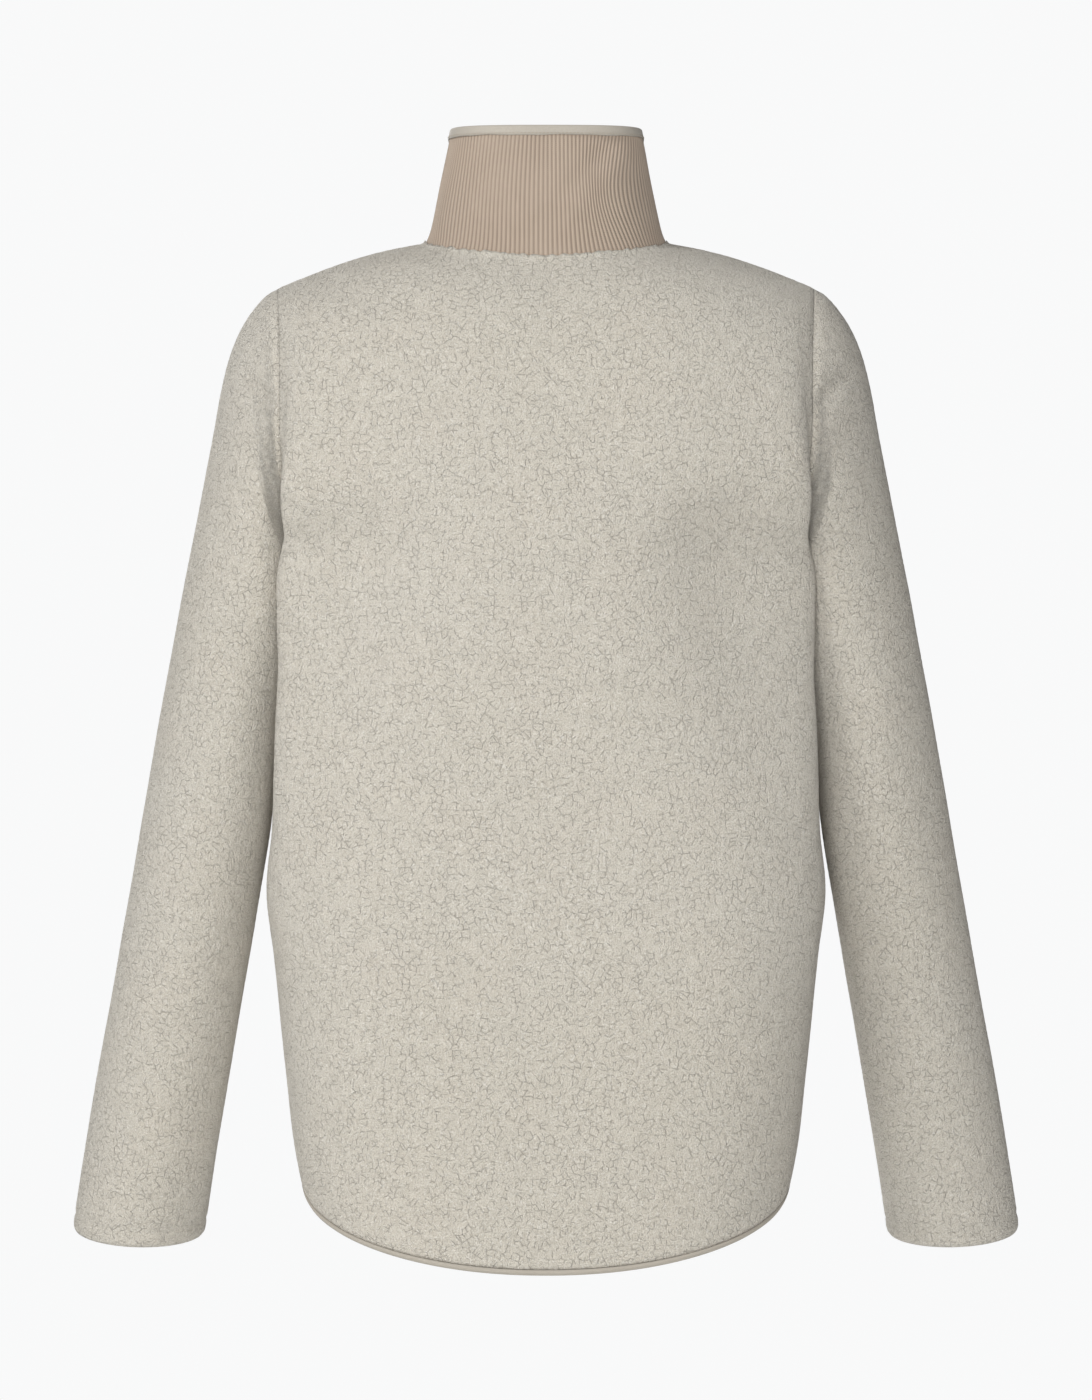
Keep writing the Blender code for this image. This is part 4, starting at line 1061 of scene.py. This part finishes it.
# The last of these colours is a painted highlight for the bright fibre tips; the warm and pale colours are
# real tones.
FLEECE_WARM, FLEECE_PALE, FLEECE_TIP_HIGHLIGHT = (0.60, 0.525, 0.43), (0.68, 0.66, 0.62), (0.86, 0.84, 0.80)


def fleece_material(name, light, gap_shade):
    """Gaps and curls in painted shade, a tone for each clump, then patches, small painted shadows and
    painted highlights on the tips.
    """
    look, tree, shader = start_material(name, 0.95, sheen=0.25)
    place = add(tree, "ShaderNodeTexCoord").outputs["Object"]
    flat = add(tree, "ShaderNodeCombineXYZ")
    for socket, layer in (("X", "across"), ("Y", "down")):
        attribute = add(tree, "ShaderNodeAttribute", attribute_name=layer)
        tree.links.new(attribute.outputs["Fac"], flat.inputs[socket])
    cells = {"voronoi_dimensions": "2D", "Vector": flat.outputs[0]}
    clump = add(tree, "ShaderNodeTexVoronoi", feature="DISTANCE_TO_EDGE", Scale=1.0, **cells)
    own = add(tree, "ShaderNodeTexVoronoi", feature="F1", Scale=1.0, **cells)
    curl = add(tree, "ShaderNodeTexVoronoi", feature="DISTANCE_TO_EDGE", Scale=2.7, **cells)
    fibre = add(tree, "ShaderNodeTexNoise", Vector=place, Scale=1500.0, Detail=3.0, Roughness=0.7)
    speck = add(tree, "ShaderNodeTexNoise", Vector=place, Scale=900.0, Detail=2.0, Roughness=0.6)
    merge = add(tree, "ShaderNodeTexNoise", Vector=place, Scale=240.0, Detail=2.0)
    patch = add(tree, "ShaderNodeTexNoise", Vector=place, Scale=22.0, Detail=3.0)
    broad = add(tree, "ShaderNodeTexNoise", Vector=place, Scale=5.0, Detail=2.0)
    # Where the merge noise is high, two clumps run into each other and no gap shows
    merged = maths(tree, "MULTIPLY", ramp(tree, merge.outputs["Fac"], 0.44, 0.62), 0.12)
    gap = ramp(tree, maths(tree, "ADD", clump.outputs["Distance"], merged), 0.0, 0.075)
    dome = ramp(tree, clump.outputs["Distance"], 0.0, 0.36)
    fine_gap = ramp(tree, curl.outputs["Distance"], 0.0, 0.22)
    # Painted shade: the gaps and the curls' edges darken the colour; the clump's own tone is real.
    shade = maths(tree, "MULTIPLY", maths(tree, "MULTIPLY_ADD", gap, 0.56, 0.44),
                  maths(tree, "MULTIPLY_ADD", fine_gap, 0.24, 0.76))
    shade = maths(tree, "MULTIPLY", shade, maths(tree, "MULTIPLY_ADD", own.outputs["Color"], 0.12, 0.94))
    colour = mix_colour(tree, shade, gap_shade, light)
    warm = ramp(tree, patch.outputs["Fac"], 0.42, 0.75)
    colour = mix_colour(tree, maths(tree, "MULTIPLY", warm, 0.14), colour, FLEECE_WARM)
    pale = ramp(tree, broad.outputs["Fac"], 0.35, 0.7)
    colour = mix_colour(tree, maths(tree, "MULTIPLY", pale, 0.1), colour, FLEECE_PALE)
    # Painted shade: small shadows from the fine speckle.
    shadow = ramp(tree, speck.outputs["Fac"], 0.48, 0.30)
    colour = mix_colour(tree, maths(tree, "MULTIPLY", shadow, 0.45), colour, gap_shade)
    # Painted highlight: bright fibre tips from the fine speckle.
    tip_highlight = ramp(tree, speck.outputs["Fac"], 0.54, 0.68)
    colour = mix_colour(tree, maths(tree, "MULTIPLY", tip_highlight, 0.42), colour, FLEECE_TIP_HIGHLIGHT)
    tree.links.new(colour, shader.inputs["Base Color"])
    height = maths(tree, "MULTIPLY_ADD", gap, 0.45, maths(tree, "MULTIPLY", fine_gap, 0.15))
    height = maths(tree, "MULTIPLY_ADD", dome, 0.12, height)
    height = maths(tree, "MULTIPLY_ADD", speck.outputs["Fac"], 1.0, height)
    height = maths(tree, "MULTIPLY_ADD", fibre.outputs["Fac"], 0.45, height)
    bump = add(tree, "ShaderNodeBump", Strength=1.0, Distance=0.0018, Height=height)
    tree.links.new(bump.outputs[0], shader.inputs["Normal"])
    return look


body_fleece = fleece_material("borg_body", FLEECE_LIGHT, FLEECE_GAP_SHADE)
print("fleece material nodes:", len(body_fleece.node_tree.nodes))

# %% [markdown]
# ## Rib, tape and metal finishes
# The rib's loops are drawn from the two numbers kept on its points: a rib's number,
# whose fraction says where across the rib a point lies, and its height in mm. Tapes
# have a fine plain weave from their own run and turn. The slider is cast and
# brushed, so its gloss wanders a little.

# %% Rib, weave and metal materials
LOOP_PITCH = 1.35     # mm between knit courses


def rib_material(name, light, groove_shade):
    """Ribs by the cosine of their number, with painted shade in the grooves between them; slanting loops by
    a sine up the rib.
    """
    look, tree, shader = start_material(name, 0.9, sheen=0.15)
    rib = add(tree, "ShaderNodeAttribute", attribute_name="rib").outputs["Fac"]
    course = add(tree, "ShaderNodeAttribute", attribute_name="course").outputs["Fac"]
    place = add(tree, "ShaderNodeTexCoord").outputs["Object"]
    wave = maths(tree, "COSINE", maths(tree, "MULTIPLY", rib, 2 * math.pi))
    ridge = ramp(tree, wave, -0.95, 0.1)
    off = maths(tree, "ABSOLUTE", maths(tree, "WRAP", rib, 0.5, -0.5))
    slant = maths(tree, "MULTIPLY_ADD", off, 1.6, maths(tree, "DIVIDE", course, LOOP_PITCH))
    loops = maths(tree, "SINE", maths(tree, "MULTIPLY", slant, 2 * math.pi))
    loops = ramp(tree, loops, -0.9, 0.5)
    fibre = add(tree, "ShaderNodeTexNoise", Vector=place, Scale=1100.0, Detail=3.0, Roughness=0.7)
    patch = add(tree, "ShaderNodeTexNoise", Vector=place, Scale=24.0, Detail=2.0)
    in_groove = maths(tree, "SUBTRACT", 1.0, ridge)
    groove_loops = maths(tree, "MULTIPLY", in_groove, maths(tree, "MULTIPLY", loops, 0.55))
    ridge_loops = maths(tree, "MULTIPLY_ADD", loops, 0.16, 0.84)
    shade = maths(tree, "MULTIPLY_ADD", ridge, ridge_loops, groove_loops)
    shade = maths(tree, "MULTIPLY", shade, maths(tree, "MULTIPLY_ADD", fibre.outputs["Fac"], 0.4, 0.8))
    # Painted shade: the grooves between the ribs are darkened towards the second colour.
    colour = mix_colour(tree, shade, groove_shade, light)
    tone = ramp(tree, patch.outputs["Fac"], 0.4, 0.7)
    colour = mix_colour(tree, maths(tree, "MULTIPLY", tone, 0.25), colour, (0.43, 0.352, 0.283))
    tree.links.new(colour, shader.inputs["Base Color"])
    height = maths(tree, "MULTIPLY_ADD", loops, 0.5, maths(tree, "MULTIPLY", fibre.outputs["Fac"], 0.5))
    bump = add(tree, "ShaderNodeBump", Strength=0.7, Distance=0.0004, Height=height)
    tree.links.new(bump.outputs[0], shader.inputs["Normal"])
    return look


def weave_material(name, light, dark, pitch):
    """Plain weave: sine of the run times sine of the turn, both in mm."""
    look, tree, shader = start_material(name, 0.8, sheen=0.1)
    run = add(tree, "ShaderNodeAttribute", attribute_name="run").outputs["Fac"]
    turn = add(tree, "ShaderNodeAttribute", attribute_name="turn").outputs["Fac"]
    place = add(tree, "ShaderNodeTexCoord").outputs["Object"]
    one = maths(tree, "SINE", maths(tree, "MULTIPLY", run, 2 * math.pi / pitch))
    two = maths(tree, "SINE", maths(tree, "MULTIPLY", turn, 2 * math.pi / pitch))
    thread = ramp(tree, maths(tree, "MULTIPLY", one, two), -0.8, 0.8)
    fibre = add(tree, "ShaderNodeTexNoise", Vector=place, Scale=900.0, Detail=3.0)
    patch = add(tree, "ShaderNodeTexNoise", Vector=place, Scale=40.0, Detail=2.0)
    shade = maths(tree, "MULTIPLY_ADD", thread, 0.5, maths(tree, "MULTIPLY", fibre.outputs["Fac"], 0.6))
    shade = maths(tree, "MULTIPLY_ADD", patch.outputs["Fac"], 0.3, maths(tree, "SUBTRACT", shade, 0.1))
    tree.links.new(mix_colour(tree, shade, dark, light), shader.inputs["Base Color"])
    bump = add(tree, "ShaderNodeBump", Strength=0.5, Distance=0.0002, Height=shade)
    tree.links.new(bump.outputs[0], shader.inputs["Normal"])
    return look


def metal_material(name):
    """Brushed metal, with wear in its tone and gloss."""
    look, tree, shader = start_material(name, 0.35, metallic=1.0)
    place = add(tree, "ShaderNodeTexCoord").outputs["Object"]
    brushed = add(tree, "ShaderNodeMapping", Vector=place, Scale=(1.0, 1.0, 0.06))
    grain = add(tree, "ShaderNodeTexNoise", Vector=brushed.outputs[0], Scale=4000.0, Detail=2.0)
    wear = add(tree, "ShaderNodeTexNoise", Vector=place, Scale=350.0, Detail=3.0)
    colour = mix_colour(tree, wear.outputs["Fac"], (0.36, 0.345, 0.32), (0.50, 0.48, 0.45))
    tree.links.new(colour, shader.inputs["Base Color"])
    rough = maths(tree, "MULTIPLY_ADD", wear.outputs["Fac"], 0.3, 0.2)
    tree.links.new(rough, shader.inputs["Roughness"])
    bump = add(tree, "ShaderNodeBump", Strength=0.2, Distance=0.0001, Height=grain.outputs["Fac"])
    tree.links.new(bump.outputs[0], shader.inputs["Normal"])
    return look


# The rib's second colour is painted shade for its grooves.
rib_knit = rib_material("taupe_rib", (0.405, 0.326, 0.258), (0.18, 0.137, 0.104))
collar_weave = weave_material("collar_tape_weave", (0.43, 0.396, 0.344), (0.325, 0.295, 0.252), 0.7)
hem_weave = weave_material("hem_tape_weave", (0.405, 0.373, 0.32), (0.31, 0.277, 0.232), 0.7)
zip_weave = weave_material("zip_tape_weave", (0.52, 0.45, 0.37), (0.36, 0.31, 0.25), 0.6)
thread_look = weave_material("sewing_thread", (0.42, 0.36, 0.29), (0.28, 0.24, 0.19), 0.5)
satin_metal = metal_material("satin_metal")

# %% [markdown]
# ## Dress the frame
# Each finished piece takes its material, rides on the jacket's body, and stands for
# its plain solid. The slider and its pull keep their solids, which are right as they
# are, with the metal finish.

# %% Materials and bodies
def dress(piece, look, slot_name, *nodes):
    """Material and body for a piece, and the solids that it stands for; the slot name is not used."""
    piece.data.materials.clear()
    piece.data.materials.append(look)
    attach(piece, JACKET)
    if nodes:
        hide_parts(*nodes)


dress(back_piece, body_fleece, "borg_fleece", "back")
dress(front_pieces[0], body_fleece, "borg_fleece", "front_left")
dress(front_pieces[1], body_fleece, "borg_fleece", "front_right")
dress(sleeve_pieces[0], body_fleece, "borg_fleece", "sleeve_left")
dress(sleeve_pieces[1], body_fleece, "borg_fleece", "sleeve_right")
dress(collar_piece, rib_knit, "rib_knit", "collar")
dress(collar_binding, collar_weave, "binding_tape", "collar_binding")
dress(hem_piece, hem_weave, "binding_tape", "hem_binding")
dress(zip_tapes[0], zip_weave, "zip_tape", "zip_tape_left")
dress(zip_tapes[1], zip_weave, "zip_tape", "zip_tape_right")
dress(zip_coil, zip_weave, "zip_tape", "zip_chain")
dress(collar_stitch, thread_look, "binding_tape")
for node in ("zip_slider", "zip_pull"):
    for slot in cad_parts[node].material_slots:
        slot.material = satin_metal

# %% [markdown]
# ## Studio
# The jacket is photographed straight from behind on white. The pale surround shows
# white behind the cloth and lights it only a little. One broad lamp high on the left
# models the folds, one at the camera opens the shadows under the arms, and one on the
# far side lights the front. The lens is long, because a close camera would swell the
# sleeves.

# %% Floor, surround, lamps and camera
FLOOR_Z, FLOOR_HALF = -1.42, 3        # m: the floor lies where a standing wearer's feet would be
floor_corners = [(x * FLOOR_HALF, y * FLOOR_HALF, FLOOR_Z) for x, y in ((-1, -1), (1, -1), (1, 1), (-1, 1))]
floor_mesh = bpy.data.meshes.new("floor")
floor_mesh.from_pydata(floor_corners, [], [(0, 1, 2, 3)])
floor = bpy.data.objects.new("floor", floor_mesh)
bpy.context.scene.collection.objects.link(floor)
floor_look, floor_tree, floor_shader = start_material("pale_floor", 0.9)
floor_place = add(floor_tree, "ShaderNodeTexCoord").outputs["Object"]
floor_grain = add(floor_tree, "ShaderNodeTexNoise", Vector=floor_place, Scale=3.0)
floor_tone = mix_colour(floor_tree, floor_grain.outputs["Fac"], (0.78, 0.78, 0.77), (0.82, 0.82, 0.81))
floor_tree.links.new(floor_tone, floor_shader.inputs["Base Color"])
floor_mesh.materials.append(floor_look)

SURROUND_LIGHT = 0.34   # the surround lights the cloth less than it shows behind it
world = bpy.data.worlds.new("white_surround")
bpy.context.scene.world = world
world.use_nodes = True
surround = world.node_tree.nodes["Background"]
surround.inputs["Color"].default_value = (0.945, 0.948, 0.95, 1.0)
seen = world.node_tree.nodes.new("ShaderNodeLightPath").outputs["Is Camera Ray"]
strength = maths(world.node_tree, "MULTIPLY_ADD", seen, 1.0 - SURROUND_LIGHT, SURROUND_LIGHT)
world.node_tree.links.new(strength, surround.inputs["Strength"])
bpy.context.scene.view_settings.view_transform = "Standard"


def lamp(name, place, aim, size, watts):
    """A square lamp, sizes in m, turned so that it faces the place it aims at."""
    light = bpy.data.lights.new(name, "AREA")
    light.shape, light.size, light.energy = "SQUARE", size, watts
    made = bpy.data.objects.new(name, light)
    made.location = place
    made.rotation_euler = (Vector(aim) - Vector(place)).to_track_quat("-Z", "Y").to_euler()
    bpy.context.scene.collection.objects.link(made)


lamp("key", (2.3, 2.0, 2.3), (0.0, 0.0, -0.25), 1.2, 70.0)
lamp("fill", (0.2, 3.6, 0.0), (0.0, 0.0, -0.3), 1.6, 94.0)
lamp("front_fill", (0.8, -3.6, 0.2), (0.0, 0.0, -0.35), 2.0, 150.0)

camera_data = bpy.data.cameras.new("studio_camera")
camera_data.sensor_fit = "AUTO"
camera_data.sensor_width = 36.0
camera_data.lens = 117.6
studio_camera = bpy.data.objects.new("studio_camera", camera_data)
studio_camera.location = (0.0, 3.2, -0.32)
studio_camera.rotation_euler = (math.radians(90), 0.0, math.radians(180))
bpy.context.scene.collection.objects.link(studio_camera)
bpy.context.scene.camera = studio_camera
